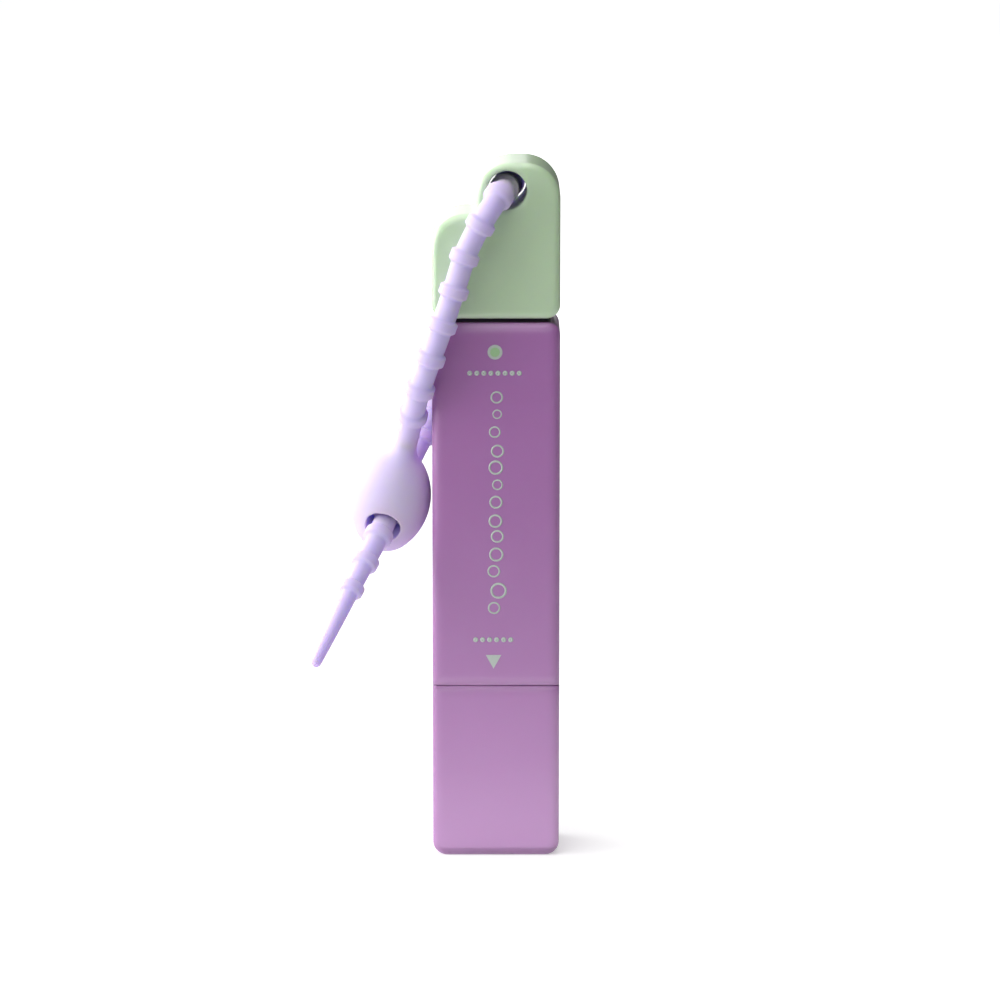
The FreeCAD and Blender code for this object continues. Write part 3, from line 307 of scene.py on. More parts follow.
# %% Tree for the strap
def strap_tree():
    tree, given = new_tree(
        "beaded_strap", Core="Float", Crown="Float", Pitch="Float", First="Float", Bead="Float", Edge="Float",
        Length="Float", Taper="Float", Tail="Float", Tip="Float", Step="Float", Finish="Material",
    )

    def reckon(operation, *terms):
        return add_node(tree, "ShaderNodeMath", dict(enumerate(terms)), operation=operation).outputs[0]

    def ramp(value, low, high, kind="SMOOTHSTEP"):
        links = {"Value": value, "From Min": low, "From Max": high}
        return add_node(tree, "ShaderNodeMapRange", links, interpolation_type=kind).outputs["Result"]

    line = add_node(tree, "GeometryNodeMeshToCurve", {"Mesh": given["Geometry"]})
    even = add_node(tree, "GeometryNodeResampleCurve", {"Curve": line.outputs[0]}, mode="LENGTH")
    tree.links.new(given["Step"], even.inputs["Length"])
    passed = add_node(tree, "GeometryNodeSplineParameter").outputs["Length"]
    tail_start = reckon("SUBTRACT", given["Length"], given["Tail"])
    # Distance from the middle of the nearest bead
    along = reckon("DIVIDE", reckon("SUBTRACT", passed, given["First"]), given["Pitch"])
    number = reckon("MAXIMUM", reckon("ROUND", along), 0.0)
    away = reckon("MULTIPLY", reckon("ABSOLUTE", reckon("SUBTRACT", along, number)), given["Pitch"])
    half = reckon("MULTIPLY", given["Bead"], 0.5)
    bead = ramp(away, half, reckon("SUBTRACT", half, given["Edge"]))
    last = reckon("MULTIPLY_ADD", number, given["Pitch"], reckon("ADD", given["First"], given["Bead"]))
    kept = reckon("LESS_THAN", last, tail_start)
    rise = reckon("SUBTRACT", given["Crown"], given["Core"])
    # Core that narrows to the tip, with the beads on it, and the tip's half round end
    taper_start = reckon("SUBTRACT", given["Length"], given["Taper"])
    narrowing = reckon("SUBTRACT", given["Tip"], given["Core"])
    core = reckon("MULTIPLY_ADD", ramp(passed, taper_start, given["Length"], "LINEAR"), narrowing, given["Core"])
    beaded = reckon("MULTIPLY_ADD", reckon("MULTIPLY", bead, kept), rise, core)
    left = reckon("DIVIDE", reckon("SUBTRACT", given["Length"], passed), given["Tip"])
    inside = reckon("SUBTRACT", 1.0, reckon("MINIMUM", reckon("MAXIMUM", left, 0.02), 1.0))
    round_end = reckon("SQRT", reckon("SUBTRACT", 1.0, reckon("MULTIPLY", inside, inside)))
    radius = reckon("MULTIPLY", beaded, round_end)
    ring = add_node(tree, "GeometryNodeCurvePrimitiveCircle", {"Resolution": 28, "Radius": 1.0})
    tube = add_node(tree, "GeometryNodeCurveToMesh", {"Curve": even.outputs[0], "Profile Curve": ring.outputs[0]})
    tree.links.new(radius, tube.inputs["Scale"])
    tube.inputs["Fill Caps"].default_value = True
    smooth = add_node(tree, "GeometryNodeSetShadeSmooth", {"Geometry": tube.outputs[0]})
    real = add_node(tree, "GeometryNodeRealizeInstances", {"Geometry": smooth.outputs[0]})
    dressed = add_node(tree, "GeometryNodeSetMaterial", {"Geometry": real.outputs[0], "Material": given["Finish"]})
    add_node(tree, "NodeGroupOutput", {"Geometry": dressed.outputs[0]})
    return tree


# %% Strap
CORE = 1.6 * MM
CROWN = 2.1 * MM
strap_maker = new_piece("strap_maker", route_line)
set_inputs(
    strap_maker, strap_tree(), Core=CORE, Crown=CROWN, Pitch=5.05 * MM, First=5.65 * MM, Bead=2.1 * MM,
    Edge=0.5 * MM, Length=strap_length, Taper=25.5 * MM, Tail=11.4 * MM, Tip=0.72 * MM, Step=0.12 * MM,
    Finish=lilac_silicone,
)
beaded_strap = new_piece("beaded_strap", baked(strap_maker))
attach(beaded_strap, "strap")
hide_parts("strap")
print("strap faces:", len(beaded_strap.data.polygons))

# %% [markdown]
# ## The strap's head
# The head is a soft egg with a cross hole, moulded in one with the strap. Its lips are round, because a
# rubber tool has no sharp edges. It could be modelled with subdivision, but a hole through a sphere makes
# a poor grid. Here a turned egg is cut by a round bar, remeshed into an even skin and smoothed, and the
# smoothing rounds the lips just as the tool would.

# %% Turned shapes
def turned(name, outline, start, axis, turns=96):
    """A closed shape turned round a line, from an outline of (radius, height) points."""
    work = bmesh.new()
    turn = axis.to_track_quat("Z", "Y")
    rings = []
    for radius, height in outline:
        ring = []
        for step in range(turns):
            angle = 2 * math.pi * step / turns
            flat = Vector((radius * math.cos(angle), radius * math.sin(angle), height))
            ring.append(work.verts.new(start + turn @ flat))
        rings.append(ring)
    for lower, upper in zip(rings, rings[1:]):
        for step in range(turns):
            after = (step + 1) % turns
            work.faces.new((lower[step], lower[after], upper[after], upper[step]))
    work.faces.new(list(reversed(rings[0])))
    work.faces.new(rings[-1])
    mesh = bpy.data.meshes.new(name)
    work.to_mesh(mesh)
    work.free()
    return mesh


# %% Head of the strap
HEAD_RADIUS = 5.6 * MM
HEAD_DROP = 8.9 * MM
SIDE_ROUND = 10.0 * MM
END_ROUND = 4.5 * MM
HEAD_HOLE = 2.5 * MM
BLEND_RADIUS = 3.0 * MM
BLEND_TOP = 1.8 * MM
VOXEL = 0.13 * MM
head_top = Vector(STRAP_ROUTE[0]) * MM
head_axis = (Vector(STRAP_ROUTE[1]) - Vector(STRAP_ROUTE[0])).normalized()


def arc(across, up, radius, start, end, steps=16):
    turns = [start + (end - start) * step / steps for step in range(1, steps + 1)]
    return [(across + radius * math.cos(turn), up + radius * math.sin(turn)) for turn in turns]


inset = SIDE_ROUND - HEAD_RADIUS
reach = math.sqrt((SIDE_ROUND - END_ROUND) ** 2 - inset ** 2)
lean = math.atan2(reach, inset)
dome_end = math.acos(BLEND_RADIUS / END_ROUND)
egg = arc(0.0, -HEAD_DROP - reach, END_ROUND, -math.pi / 2, -lean)
egg += arc(-inset, -HEAD_DROP, SIDE_ROUND, -lean, lean, 32)
egg += arc(0.0, -HEAD_DROP + reach, END_ROUND, lean, dome_end)
# The neck: a cubic that leaves the dome along its slope and ends just inside the strap
blend_start, blend_foot = egg[-1]
blend_height = BLEND_TOP - blend_foot
slope = -math.tan(dome_end) * blend_height
for step in range(1, 25):
    t = step / 24
    left = blend_start * (2 * t ** 3 - 3 * t ** 2 + 1) + slope * (t ** 3 - 2 * t ** 2 + t)
    egg.append((left + (CORE - 0.02 * MM) * (3 * t ** 2 - 2 * t ** 3), blend_foot + blend_height * t))
print("neck, narrowest:", round(min(r for r, h in egg[1:]) / MM, 2), "mm from", round(blend_foot / MM, 2))
head_maker = new_piece("head_maker", turned("head_maker", egg, head_top, head_axis))
way_in = Vector(STRAP_ROUTE[15]) * MM
way_out = Vector(STRAP_ROUTE[17]) * MM
bar_axis = (way_out - way_in).normalized()
bar = [(HEAD_HOLE, -12 * MM), (HEAD_HOLE, 12 * MM)]
drill = new_piece("drill", turned("drill", bar, (way_in + way_out) / 2, bar_axis, 64))
cut = head_maker.modifiers.new("cross hole", "BOOLEAN")
cut.object = drill
skin = head_maker.modifiers.new("even skin", "REMESH")
skin.mode = "VOXEL"
skin.voxel_size = VOXEL
soft = head_maker.modifiers.new("round lips", "SMOOTH")
soft.factor = 0.5
soft.iterations = 14
head_mesh = baked(head_maker)
bpy.data.objects.remove(drill)
head_mesh.shade_smooth()
strap_egg = new_piece("strap_egg", head_mesh)
strap_egg.data.materials.append(lilac_silicone)
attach(strap_egg, "strap")
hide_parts("strap_head")
print("head faces:", len(strap_egg.data.polygons))

# %% [markdown]
# ## Smooth shading of the moulded pieces
# The frame's pieces come as small triangles. Their shapes are right, so they stay, and only their shading
# is improved: a short tree joins the triangles, shades them smooth and keeps sharp edges sharp, and
# weighted normals keep the large flats flat right up to their rounded edges.

# %% Shading of the frame
def shading_tree(limit=math.radians(28)):
    tree, given = new_tree("clean_shading")
    joined = add_node(tree, "GeometryNodeMergeByDistance", {"Geometry": given["Geometry"], "Distance": 0.001 * MM})
    smooth = add_node(tree, "GeometryNodeSetShadeSmooth", {"Geometry": joined.outputs[0]})
    angle = add_node(tree, "GeometryNodeInputMeshEdgeAngle").outputs["Unsigned Angle"]
    sharp = add_node(tree, "ShaderNodeMath", {0: angle, 1: limit}, operation="GREATER_THAN")
    kept = add_node(tree, "GeometryNodeSetShadeSmooth", {"Geometry": smooth.outputs[0]}, domain="EDGE")
    tree.links.new(sharp.outputs[0], kept.inputs["Selection"])
    kept.inputs["Shade Smooth"].default_value = False
    add_node(tree, "NodeGroupOutput", {"Geometry": kept.outputs[0]})
    return tree


clean_shading = shading_tree()
for name, node in nodes.items():
    if not node.hide_render:
        node.modifiers.new("clean shading", "NODES").node_group = clean_shading
        even = node.modifiers.new("flat faces stay flat", "WEIGHTED_NORMAL")
        even.keep_sharp = True
print("shading set on the frame's own pieces")

# %% [markdown]
# ## Finishes inside the pen
# The caps come off and the nib moves, so the inside gets its real materials too: a felt nib, a wound
# steel spring, brass staples, nylon filaments and rubber seals.

# %% Other finishes
def patterned(name, colour, other, scale_mm, roughness, bump_mm=0.0, stretch=(1.0, 1.0, 1.0), **values):
    """A finish of two close colours in a noise of a real size, which may be stretched along an axis."""
    material = bpy.data.materials.new(name)
    material.use_nodes = True
    tree = material.node_tree
    shader = tree.nodes["Principled BSDF"]
    place = add_node(tree, "ShaderNodeTexCoord").outputs["Object"]
    turned_place = add_node(tree, "ShaderNodeMapping", {"Vector": place, "Scale": stretch}).outputs["Vector"]
    grain = add_node(tree, "ShaderNodeTexNoise", {"Vector": turned_place, "Scale": 1 / (scale_mm * MM), "Detail": 4.0})
    shade = add_node(tree, "ShaderNodeMix", {"Factor": grain.outputs["Fac"]}, data_type="RGBA")
    shade.inputs["A"].default_value = linear(colour)
    shade.inputs["B"].default_value = linear(other)
    tree.links.new(shade.outputs["Result"], shader.inputs["Base Color"])
    if bump_mm:
        bump = add_node(tree, "ShaderNodeBump", {"Height": grain.outputs["Fac"], "Strength": 0.6})
        bump.inputs["Distance"].default_value = bump_mm * MM
        tree.links.new(bump.outputs["Normal"], shader.inputs["Normal"])
    shader.inputs["Roughness"].default_value = roughness
    for title, setting in values.items():
        shader.inputs[title.replace("_", " ")].default_value = setting
    return material


white_felt = patterned(
    "pressed_polyester_felt", "#F4F2EC", "#DAD7CE", 0.12, 0.95, 0.06, (1.0, 1.0, 0.3), Sheen_Weight=0.3
)
spring_steel = patterned("drawn_spring_steel", "#C4C4C2", "#A2A2A0", 0.2, 0.24, Metallic=1.0)
brass = patterned("stamped_brass", "#C9A65A", "#AE8A45", 0.3, 0.3, Metallic=1.0)
nylon = patterned("extruded_nylon_filament", "#F2F3EF", "#E2E5E2", 0.6, 0.28, Subsurface_Weight=0.4)
nylon.node_tree.nodes["Principled BSDF"].inputs["Subsurface Scale"].default_value = 0.2 * MM
black_rubber = patterned("nitrile_rubber", "#1D1D1F", "#28282A", 0.15, 0.62, 0.01)
print("inside finishes made")

# %% Finishes on the frame's pieces
FINISHES = {
    "barrel": purple_abs,
    "brush_cap": purple_abs,
    "remover_cap": mint_abs,
    "neck_collar": dark_pp,
    "nose_cone": white_pp,
    "valve_stem": white_pp,
    "valve_body": white_pp,
    "valve_cage": white_pp,
    "brush_carrier": white_pp,
    "reservoir": clear_pe,
    "reservoir_plug": clear_pe,
    "cap_liner": soft_pe,
    "seat_washer": black_rubber,
    "neck_gasket": black_rubber,
    "nib": white_felt,
    "valve_spring": spring_steel,
    "tuft_anchors": brass,
    "bristle_tufts": nylon,
    "strap": lilac_silicone,
    "strap_head": lilac_silicone,
}
for name, finish in FINISHES.items():
    nodes[name].data.materials.clear()
    nodes[name].data.materials.append(finish)
print("finishes set on", len(FINISHES), "pieces")

# %% [markdown]
# ## Bristles
# The brush has 24 tufts of nylon filaments, folded in half and stapled into the head. A filament is a thin
# stick, so a tree of geometry nodes sets a few hundred of them: a grid gives the tufts, a small disc in each
# gives the roots, and every filament leans outwards by its place in the tuft.

# %% Tree for the bristles
def bristle_tree():
    tree, given = new_tree(
        "stapled_bristles", Columns="Int", Rows="Int", Width="Float", Depth="Float", Root="Float", Flare="Float",
        Spacing="Float", Filament="Float", Length="Float", Place="Vector", Finish="Material", Seed="Int",
    )
    grid = add_node(tree, "GeometryNodeMeshGrid", {"Size X": given["Width"], "Size Y": given["Depth"]})
    tree.links.new(given["Columns"], grid.inputs["Vertices X"])
    tree.links.new(given["Rows"], grid.inputs["Vertices Y"])
    disc = add_node(tree, "GeometryNodeMeshCircle", {"Vertices": 12, "Radius": given["Root"]}, fill_type="NGON")
    own = add_node(tree, "GeometryNodeInputPosition").outputs[0]
    marked = add_node(tree, "GeometryNodeStoreNamedAttribute", {"Geometry": disc.outputs[0], "Name": "in_tuft"},
                      data_type="FLOAT_VECTOR", domain="POINT")
    tree.links.new(own, marked.inputs["Value"])
    tufts = add_node(tree, "GeometryNodeInstanceOnPoints", {"Points": grid.outputs[0], "Instance": marked.outputs[0]})
    discs = add_node(tree, "GeometryNodeRealizeInstances", {"Geometry": tufts.outputs[0]})
    roots = add_node(tree, "GeometryNodeDistributePointsOnFaces", {"Mesh": discs.outputs[0], "Seed": given["Seed"]},
                     distribute_method="POISSON")
    tree.links.new(given["Spacing"], roots.inputs["Distance Min"])
    roots.inputs["Density Max"].default_value = 9.0e7
    in_tuft = add_node(tree, "GeometryNodeInputNamedAttribute", {"Name": "in_tuft"}, data_type="FLOAT_VECTOR")
    spread = add_node(tree, "ShaderNodeMath", {0: given["Flare"], 1: given["Root"]}, operation="DIVIDE")
    sideways = add_node(tree, "ShaderNodeVectorMath", {0: in_tuft.outputs[0]}, operation="SCALE")
    tree.links.new(spread.outputs[0], sideways.inputs["Scale"])
    down = add_node(tree, "ShaderNodeCombineXYZ")
    drop = add_node(tree, "ShaderNodeMath", {0: given["Length"], 1: -1.0}, operation="MULTIPLY")
    tree.links.new(drop.outputs[0], down.inputs["Z"])
    lean = add_node(tree, "ShaderNodeVectorMath", {0: sideways.outputs[0], 1: down.outputs[0]}, operation="ADD")
    pointing = add_node(tree, "FunctionNodeAlignRotationToVector", {"Vector": lean.outputs[0]}, axis="Z")
    stick = add_node(tree, "GeometryNodeMeshCylinder", {"Vertices": 6, "Side Segments": 2, "Radius": given["Filament"]})
    tree.links.new(given["Length"], stick.inputs["Depth"])
    lift = add_node(tree, "ShaderNodeCombineXYZ")
    half = add_node(tree, "ShaderNodeMath", {0: given["Length"], 1: 0.5}, operation="MULTIPLY")
    tree.links.new(half.outputs[0], lift.inputs["Z"])
    stood = add_node(tree, "GeometryNodeTransform", {"Geometry": stick.outputs[0], "Translation": lift.outputs[0]})
    stretch = add_node(tree, "FunctionNodeRandomValue", {"Seed": given["Seed"]}, data_type="FLOAT_VECTOR")
    stretch.inputs[0].default_value = (0.92, 0.92, 0.96)
    stretch.inputs[1].default_value = (1.0, 1.0, 1.0)
    filaments = add_node(tree, "GeometryNodeInstanceOnPoints", {
        "Points": roots.outputs[0], "Instance": stood.outputs[0], "Rotation": pointing.outputs[0],
        "Scale": stretch.outputs[0],
    })
    placed = add_node(tree, "GeometryNodeTransform", {"Geometry": filaments.outputs[0], "Translation": given["Place"]})
    real = add_node(tree, "GeometryNodeRealizeInstances", {"Geometry": placed.outputs[0]})
    dressed = add_node(tree, "GeometryNodeSetMaterial", {"Geometry": real.outputs[0], "Material": given["Finish"]})
    add_node(tree, "NodeGroupOutput", {"Geometry": dressed.outputs[0]})
    return tree


# %% Bristles
TUFT_COLUMNS = 6
TUFT_ROWS = 4
tuft_low, tuft_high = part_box("bristle_tufts")
ROOT_RADIUS = 0.72 * MM
FLARE = 0.1 * MM
FILAMENT = 0.085 * MM
bristle_maker = new_piece("bristle_maker", bpy.data.meshes.new("bristle_maker"))
set_inputs(
    bristle_maker, bristle_tree(), Columns=TUFT_COLUMNS, Rows=TUFT_ROWS,
    Width=tuft_high.x - tuft_low.x - 2 * (ROOT_RADIUS + FLARE),
    Depth=tuft_high.y - tuft_low.y - 2 * (ROOT_RADIUS + FLARE),
    Root=ROOT_RADIUS - FILAMENT, Flare=FLARE, Spacing=0.19 * MM, Filament=FILAMENT,
    Length=tuft_high.z - tuft_low.z, Place=(0.0, 0.0, tuft_high.z), Finish=nylon, Seed=7,
)
bristles = new_piece("bristles", baked(bristle_maker))
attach(bristles, "barrel")
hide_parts("bristle_tufts")
print("bristle faces:", len(bristles.data.polygons))

# %% [markdown]
# ## Valve spring
# The spring under the valve is cold drawn steel wire, 0.35 mm across. A tree of geometry nodes winds it on a
# spiral and gives it a round section. It stands on the floor of the cage, with its upper end under the head
# of the stem, and it is built at rest as a fixed piece of the barrel.

# %% Tree for the spring
def spring_tree():
    tree, given = new_tree(
        "wound_spring", Turns="Float", Radius="Float", Wire="Float", Height="Float", Place="Vector", Finish="Material"
    )
    coil = add_node(tree, "GeometryNodeCurveSpiral", {
        "Resolution": 40, "Rotations": given["Turns"], "Start Radius": given["Radius"],
        "End Radius": given["Radius"], "Height": given["Height"], "Reverse": True,
    })
    section = add_node(tree, "GeometryNodeCurvePrimitiveCircle", {"Resolution": 12, "Radius": given["Wire"]})
    tube = add_node(tree, "GeometryNodeCurveToMesh", {
        "Curve": coil.outputs[0], "Profile Curve": section.outputs["Curve"], "Fill Caps": True,
    })
    smooth = add_node(tree, "GeometryNodeSetShadeSmooth", {"Geometry": tube.outputs[0]})
    placed = add_node(tree, "GeometryNodeTransform", {"Geometry": smooth.outputs[0], "Translation": given["Place"]})
    real = add_node(tree, "GeometryNodeRealizeInstances", {"Geometry": placed.outputs[0]})
    dressed = add_node(tree, "GeometryNodeSetMaterial", {"Geometry": real.outputs[0], "Material": given["Finish"]})
    add_node(tree, "NodeGroupOutput", {"Geometry": dressed.outputs[0]})
    return tree


# %% Valve spring
spring_low, spring_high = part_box("valve_spring")
SPRING_TURNS = 6.0
WIRE = 0.35 * MM
spring_height = spring_high.z - spring_low.z
spring_maker = new_piece("spring_maker", bpy.data.meshes.new("spring_maker"))
set_inputs(
    spring_maker, spring_tree(), Turns=SPRING_TURNS, Radius=(spring_high.x - spring_low.x - WIRE) / 2,
    Wire=WIRE / 2, Height=spring_height - WIRE, Place=(0.0, 0.0, spring_low.z + WIRE / 2), Finish=spring_steel,
)
coil_spring = new_piece("coil_spring", baked(spring_maker))
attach(coil_spring, "barrel")
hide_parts("valve_spring")
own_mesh(coil_spring)
print("spring faces:", len(coil_spring.data.polygons), "height", round(spring_height / MM, 2), "mm")

# %% [markdown]
# ## Printed marks
# The barrel is pad printed with a silvery ink: a dot with a mint middle at the fluid end, and a small arrow
# that points to the brush. Ink lies on the surface as a film of a few hundredths of a millimetre, so each
# mark is a thin plate on the front face, and not a picture on the plastic.

# %% Ink
silver_ink = patterned("pad_print_ink_silver", "#BCC6C0", "#B2BCB6", 0.3, 0.5, 0.002)
mint_ink = patterned("pad_print_ink_mint", "#A2C898", "#98BE8E", 0.3, 0.5, 0.002)
FILM = 0.02 * MM
front_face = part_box("barrel")[0].y


def flat_mark(name, outline, finish):
    """A thin film of ink on the front face, from an outline of (x, z) points in order."""
    work = bmesh.new()
    bottom = work.faces.new([work.verts.new((x, front_face, z)) for x, z in outline])
    lifted = bmesh.ops.extrude_face_region(work, geom=[bottom])["geom"]
    for corner in lifted:
        if isinstance(corner, bmesh.types.BMVert):
            corner.co.y -= FILM
    bmesh.ops.recalc_face_normals(work, faces=work.faces)
    mesh = bpy.data.meshes.new(name)
    work.to_mesh(mesh)
    work.free()
    mark = new_piece(name, mesh)
    mark.data.materials.append(finish)
    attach(mark, "barrel")
    return mark


def disc_outline(across, up, radius, steps=48):
    turns = [2 * math.pi * step / steps for step in range(steps)]
    return [(across + radius * math.cos(turn), up + radius * math.sin(turn)) for turn in turns]


# %% Dot and arrow
DOT_PLACE = (-0.14 * MM, 73.3 * MM)
flat_mark("print_dot", disc_outline(*DOT_PLACE, 1.05 * MM), silver_ink)
front_face -= FILM
flat_mark("print_dot_middle", disc_outline(*DOT_PLACE, 0.68 * MM), mint_ink)
front_face += FILM
ARROW_PLACE = (-0.35 * MM, 28.57 * MM)
ARROW_WIDTH = 2.2 * MM
ARROW_HEIGHT = 2.0 * MM
flat_mark("print_arrow", [
    (ARROW_PLACE[0] - ARROW_WIDTH / 2, ARROW_PLACE[1] + ARROW_HEIGHT / 2),
    (ARROW_PLACE[0] + ARROW_WIDTH / 2, ARROW_PLACE[1] + ARROW_HEIGHT / 2),
    (ARROW_PLACE[0], ARROW_PLACE[1] - ARROW_HEIGHT / 2),
], silver_ink)
print("marks printed on the front at y =", round(front_face / MM, 2), "mm")

# %% [markdown]
# ## Printed bubbles
# A column of bubbles runs down the middle of the barrel, with a row of small dots at each end. All are flat
# rings of the same ink, so one tree of geometry nodes sets them along a line. A fixed seed moves each ring
# a little and gives it its own size, which is less work than placing them by hand and easy to change.

# %% Tree for printed rings
def ring_tree():
    tree, given = new_tree(
        "printed_rings", Count="Int", First="Vector", Step="Vector", Spread="Vector", Smallest="Float",
        Radius="Float", Stroke="Float", Film="Float", Finish="Material", Seed="Int",
    )
    line = add_node(tree, "GeometryNodeMeshLine", {"Count": given["Count"], "Start Location": given["First"]})
    tree.links.new(given["Step"], line.inputs["Offset"])
    back = (-1.0, -1.0, -1.0)
    other_way = add_node(tree, "ShaderNodeVectorMath", {0: given["Spread"], 1: back}, operation="MULTIPLY")
    shift = add_node(tree, "FunctionNodeRandomValue", {"Seed": given["Seed"]}, data_type="FLOAT_VECTOR")
    tree.links.new(other_way.outputs[0], shift.inputs[0])
    tree.links.new(given["Spread"], shift.inputs[1])
    places = add_node(tree, "GeometryNodeSetPosition", {"Geometry": line.outputs[0], "Offset": shift.outputs[0]})
    size = add_node(tree, "FunctionNodeRandomValue", {"Seed": given["Seed"]}, data_type="FLOAT")
    tree.links.new(given["Smallest"], size.inputs[2])
    size.inputs[3].default_value = 1.0
    hoop = add_node(tree, "GeometryNodeCurvePrimitiveCircle", {"Resolution": 24, "Radius": given["Radius"]})
    band = add_node(tree, "GeometryNodeCurvePrimitiveQuadrilateral", {
        "Width": given["Stroke"], "Height": given["Film"],
    })
    ring = add_node(tree, "GeometryNodeCurveToMesh", {"Curve": hoop.outputs[0], "Profile Curve": band.outputs[0]})
    upright = add_node(tree, "GeometryNodeTransform", {"Geometry": ring.outputs[0]})
    upright.inputs["Rotation"].default_value = (math.pi / 2, 0.0, 0.0)
    rings = add_node(tree, "GeometryNodeInstanceOnPoints", {
        "Points": places.outputs[0], "Instance": upright.outputs[0],
    })
    tree.links.new(size.outputs[1], rings.inputs["Scale"])
    real = add_node(tree, "GeometryNodeRealizeInstances", {"Geometry": rings.outputs[0]})
    dressed = add_node(tree, "GeometryNodeSetMaterial", {"Geometry": real.outputs[0], "Material": given["Finish"]})
    add_node(tree, "NodeGroupOutput", {"Geometry": dressed.outputs[0]})
    return tree


# %% Bubbles and dots
RING_ROWS = {
    "print_bubbles": dict(
        Count=13, First=(0.0, 36.6), Step=(0.0, 2.52), Spread=(0.38, 0.18), Smallest=0.5, Radius=1.02
    ),
    "print_upper_dots": dict(
        Count=8, First=(-3.71, 70.3), Step=(1.0, 0.0), Spread=(0.0, 0.0), Smallest=1.0, Radius=0.2
    ),
    "print_lower_dots": dict(
        Count=6, First=(-2.90, 31.8), Step=(1.0, 0.0), Spread=(0.0, 0.0), Smallest=1.0, Radius=0.2
    ),
}
STROKE = 0.32
printed_rings = ring_tree()
for name, row in RING_ROWS.items():
    ring_maker = new_piece(name + "_maker", bpy.data.meshes.new(name))
    across, up = row["First"]
    step_across, step_up = row["Step"]
    spread_across, spread_up = row["Spread"]
    set_inputs(
        ring_maker, printed_rings, Count=row["Count"], First=(across * MM, front_face - FILM / 2, up * MM),
        Step=(step_across * MM, 0.0, step_up * MM), Spread=(spread_across * MM, 0.0, spread_up * MM),
        Smallest=row["Smallest"], Radius=row["Radius"] * MM, Stroke=STROKE * MM, Film=FILM, Finish=silver_ink, Seed=5,
    )
    rings = new_piece(name, baked(ring_maker))
    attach(rings, "barrel")
    low = min(vertex.co.y for vertex in rings.data.vertices)
    print(name, "faces:", len(rings.data.polygons), "film top at y =", round(low / MM, 3), "mm")

# %% [markdown]
# ## Floor and light
# The pen stands on a white table in a bright room. A large soft lamp on the left makes the pale left edges
# and leaves the right edges dark. A lamp above the camera lights the face, one overhead draws the top of the
# ear, one behind lights the table, and a small card on the table lifts the foot of the pen. The table ends
# 0.2 m in front of the pen, so that the face doesn't mirror a long white floor. It is lifted to white for the
# camera, and it keeps the shadow of the pen. Close to the pen it also glows for reflections only: a painted
# reflection that lays a pale sheen on the foot of the pen.

# %% Floor
TABLE_REACH = 4.0
TABLE_FRONT = -0.20
LIFT_REACH = (0.05, 0.6)  # metres from the pen between which the lift grows
LIFT = (0.45, 0.95)
# Painted reflection: near the pen the table glows for reflection rays only, which puts a pale sheen on the foot of the
# pen.
REFLECTION_GLOW_REACH = (0.02, 0.18)  # metres from the pen between which the lift for reflections fades
REFLECTION_GLOW = (0.6, 0.0)
floor_mesh = bpy.data.meshes.new("table")
floor_mesh.from_pydata(
    [
        (-TABLE_REACH, TABLE_FRONT, 0.0), (TABLE_REACH, TABLE_FRONT, 0.0),
        (TABLE_REACH, TABLE_REACH, 0.0), (-TABLE_REACH, TABLE_REACH, 0.0),
    ], [], [(0, 1, 2, 3)]
)
table = new_piece("table", floor_mesh)
paper = bpy.data.materials.new("matt_white_paper")
paper.use_nodes = True
tree = paper.node_tree
tree.nodes.clear()
rays = add_node(tree, "ShaderNodeLightPath").outputs
seen = add_node(tree, "ShaderNodeMath", {0: rays["Is Camera Ray"], 1: rays["Is Transmission Ray"]}, operation="MAXIMUM")
place = add_node(tree, "ShaderNodeTexCoord").outputs["Object"]
distance = add_node(tree, "ShaderNodeVectorMath", {0: place}, operation="LENGTH")
reached = add_node(tree, "ShaderNodeMapRange", {
    "Value": distance.outputs["Value"], "From Min": LIFT_REACH[0], "From Max": LIFT_REACH[1],
    "To Min": LIFT[0], "To Max": LIFT[1],
}, interpolation_type="SMOOTHSTEP")
lift = add_node(tree, "ShaderNodeMath", {0: seen.outputs[0], 1: reached.outputs["Result"]}, operation="MULTIPLY")
# Painted reflection: a glow that only reflection rays see, strongest next to the pen.
nearby = add_node(tree, "ShaderNodeMapRange", {
    "Value": distance.outputs["Value"], "From Min": REFLECTION_GLOW_REACH[0], "From Max": REFLECTION_GLOW_REACH[1],
    "To Min": REFLECTION_GLOW[0], "To Max": REFLECTION_GLOW[1],
}, interpolation_type="SMOOTHSTEP")
painted_reflection_glow = add_node(tree, "ShaderNodeMath", {0: rays["Is Glossy Ray"], 1: nearby.outputs["Result"]}, operation="MULTIPLY")
raised = add_node(tree, "ShaderNodeMath", {0: lift.outputs[0], 1: painted_reflection_glow.outputs[0]}, operation="ADD")
fibre = add_node(tree, "ShaderNodeTexNoise", {"Scale": 1 / (2 * MM)})
tone = add_node(tree, "ShaderNodeMix", {"Factor": fibre.outputs["Fac"]}, data_type="RGBA")
tone.inputs["A"].default_value = linear("#E4E4E4")
tone.inputs["B"].default_value = linear("#E0E0E0")
matt = add_node(tree, "ShaderNodeBsdfDiffuse", {"Color": tone.outputs["Result"]})
glow = add_node(tree, "ShaderNodeEmission", {"Strength": raised.outputs[0]})
both = add_node(tree, "ShaderNodeAddShader", {0: matt.outputs[0], 1: glow.outputs[0]})
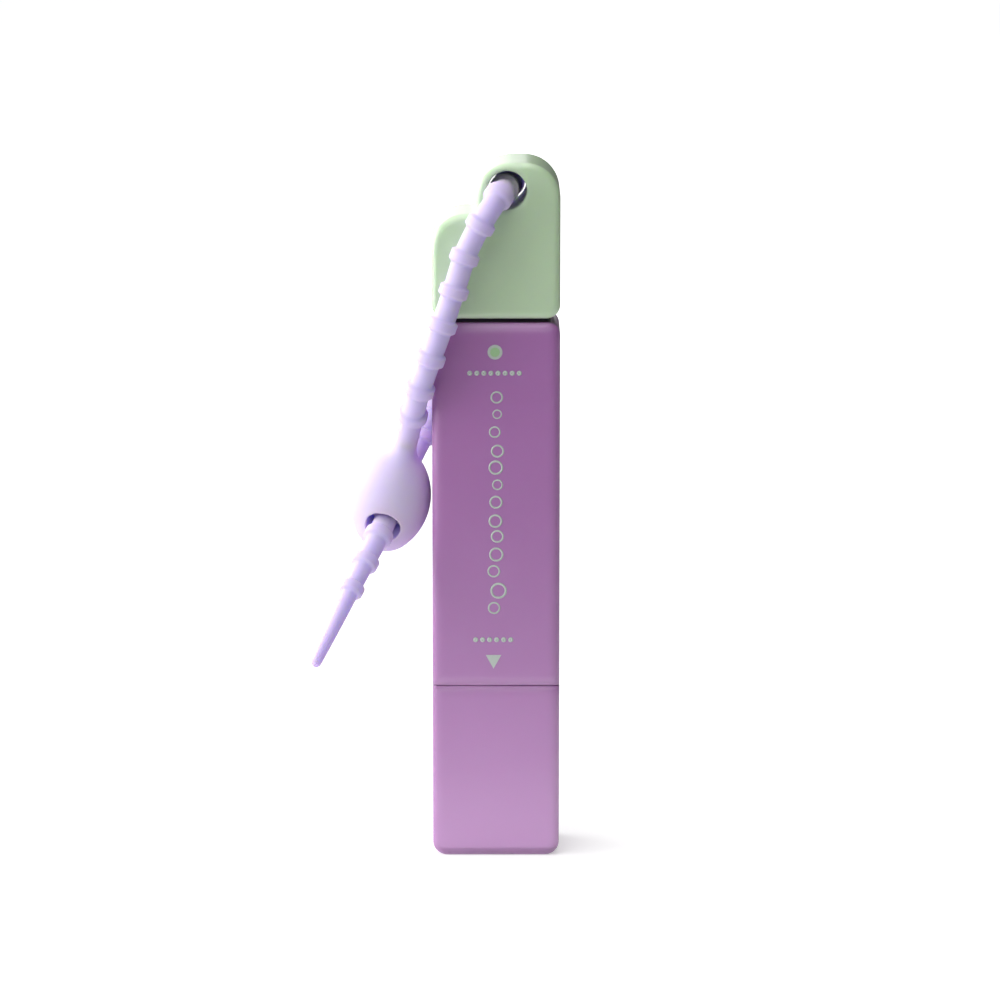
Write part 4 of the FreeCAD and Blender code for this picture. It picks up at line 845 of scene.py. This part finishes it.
add_node(tree, "ShaderNodeOutputMaterial", {"Surface": both.outputs[0]})
table.data.materials.append(paper)

# %% World
ROOM_LIGHT = 0.06
WHITE = 1.0
world = bpy.data.worlds.new("bright_room")
bpy.context.scene.world = world
world.use_nodes = True
tree = world.node_tree
tree.nodes.clear()
rays = add_node(tree, "ShaderNodeLightPath").outputs
seen = add_node(tree, "ShaderNodeMath", {0: rays["Is Camera Ray"], 1: rays["Is Transmission Ray"]}, operation="MAXIMUM")
strength = add_node(tree, "ShaderNodeMapRange", {"Value": seen.outputs[0], "To Min": ROOM_LIGHT, "To Max": WHITE})
sky = add_node(tree, "ShaderNodeBackground", {"Strength": strength.outputs["Result"]})
sky.inputs["Color"].default_value = (1.0, 1.0, 1.0, 1.0)
add_node(tree, "ShaderNodeOutputWorld", {"Surface": sky.outputs[0]})


# %% Lamps
def soft_lamp(name, place, aim, width, height, watts):
    lamp = bpy.data.lights.new(name, "AREA")
    lamp.shape = "RECTANGLE"
    lamp.size = width
    lamp.size_y = height
    lamp.energy = watts
    holder = bpy.data.objects.new(name, lamp)
    bpy.context.scene.collection.objects.link(holder)
    holder.location = place
    holder.rotation_euler = (Vector(place) - Vector(aim)).to_track_quat("Z", "Y").to_euler()
    holder.visible_camera = False
    return holder


PEN_MIDDLE = (0.0, 0.0, 0.05)
soft_lamp("key_left", (-0.60, 0.05, 0.12), PEN_MIDDLE, 0.9, 0.5, 7.2)
soft_lamp("front_top", (-0.09, -0.22, 0.36), PEN_MIDDLE, 0.40, 0.40, 1.15)
soft_lamp("top", (-0.05, 0.20, 0.55), PEN_MIDDLE, 0.5, 0.5, 1.2)
soft_lamp("backdrop", (-0.50, 0.90, 0.30), PEN_MIDDLE, 1.2, 0.6, 3.0)
soft_lamp("floor_card", (0.0, -0.024, 0.001), (0.0, -0.024, 0.5), 0.12, 0.035, 0.007)

# %% [markdown]
# The picture keeps the Standard view, so that a colour looks as it is written.

# %% Finish
bpy.context.scene.view_settings.view_transform = "Standard"
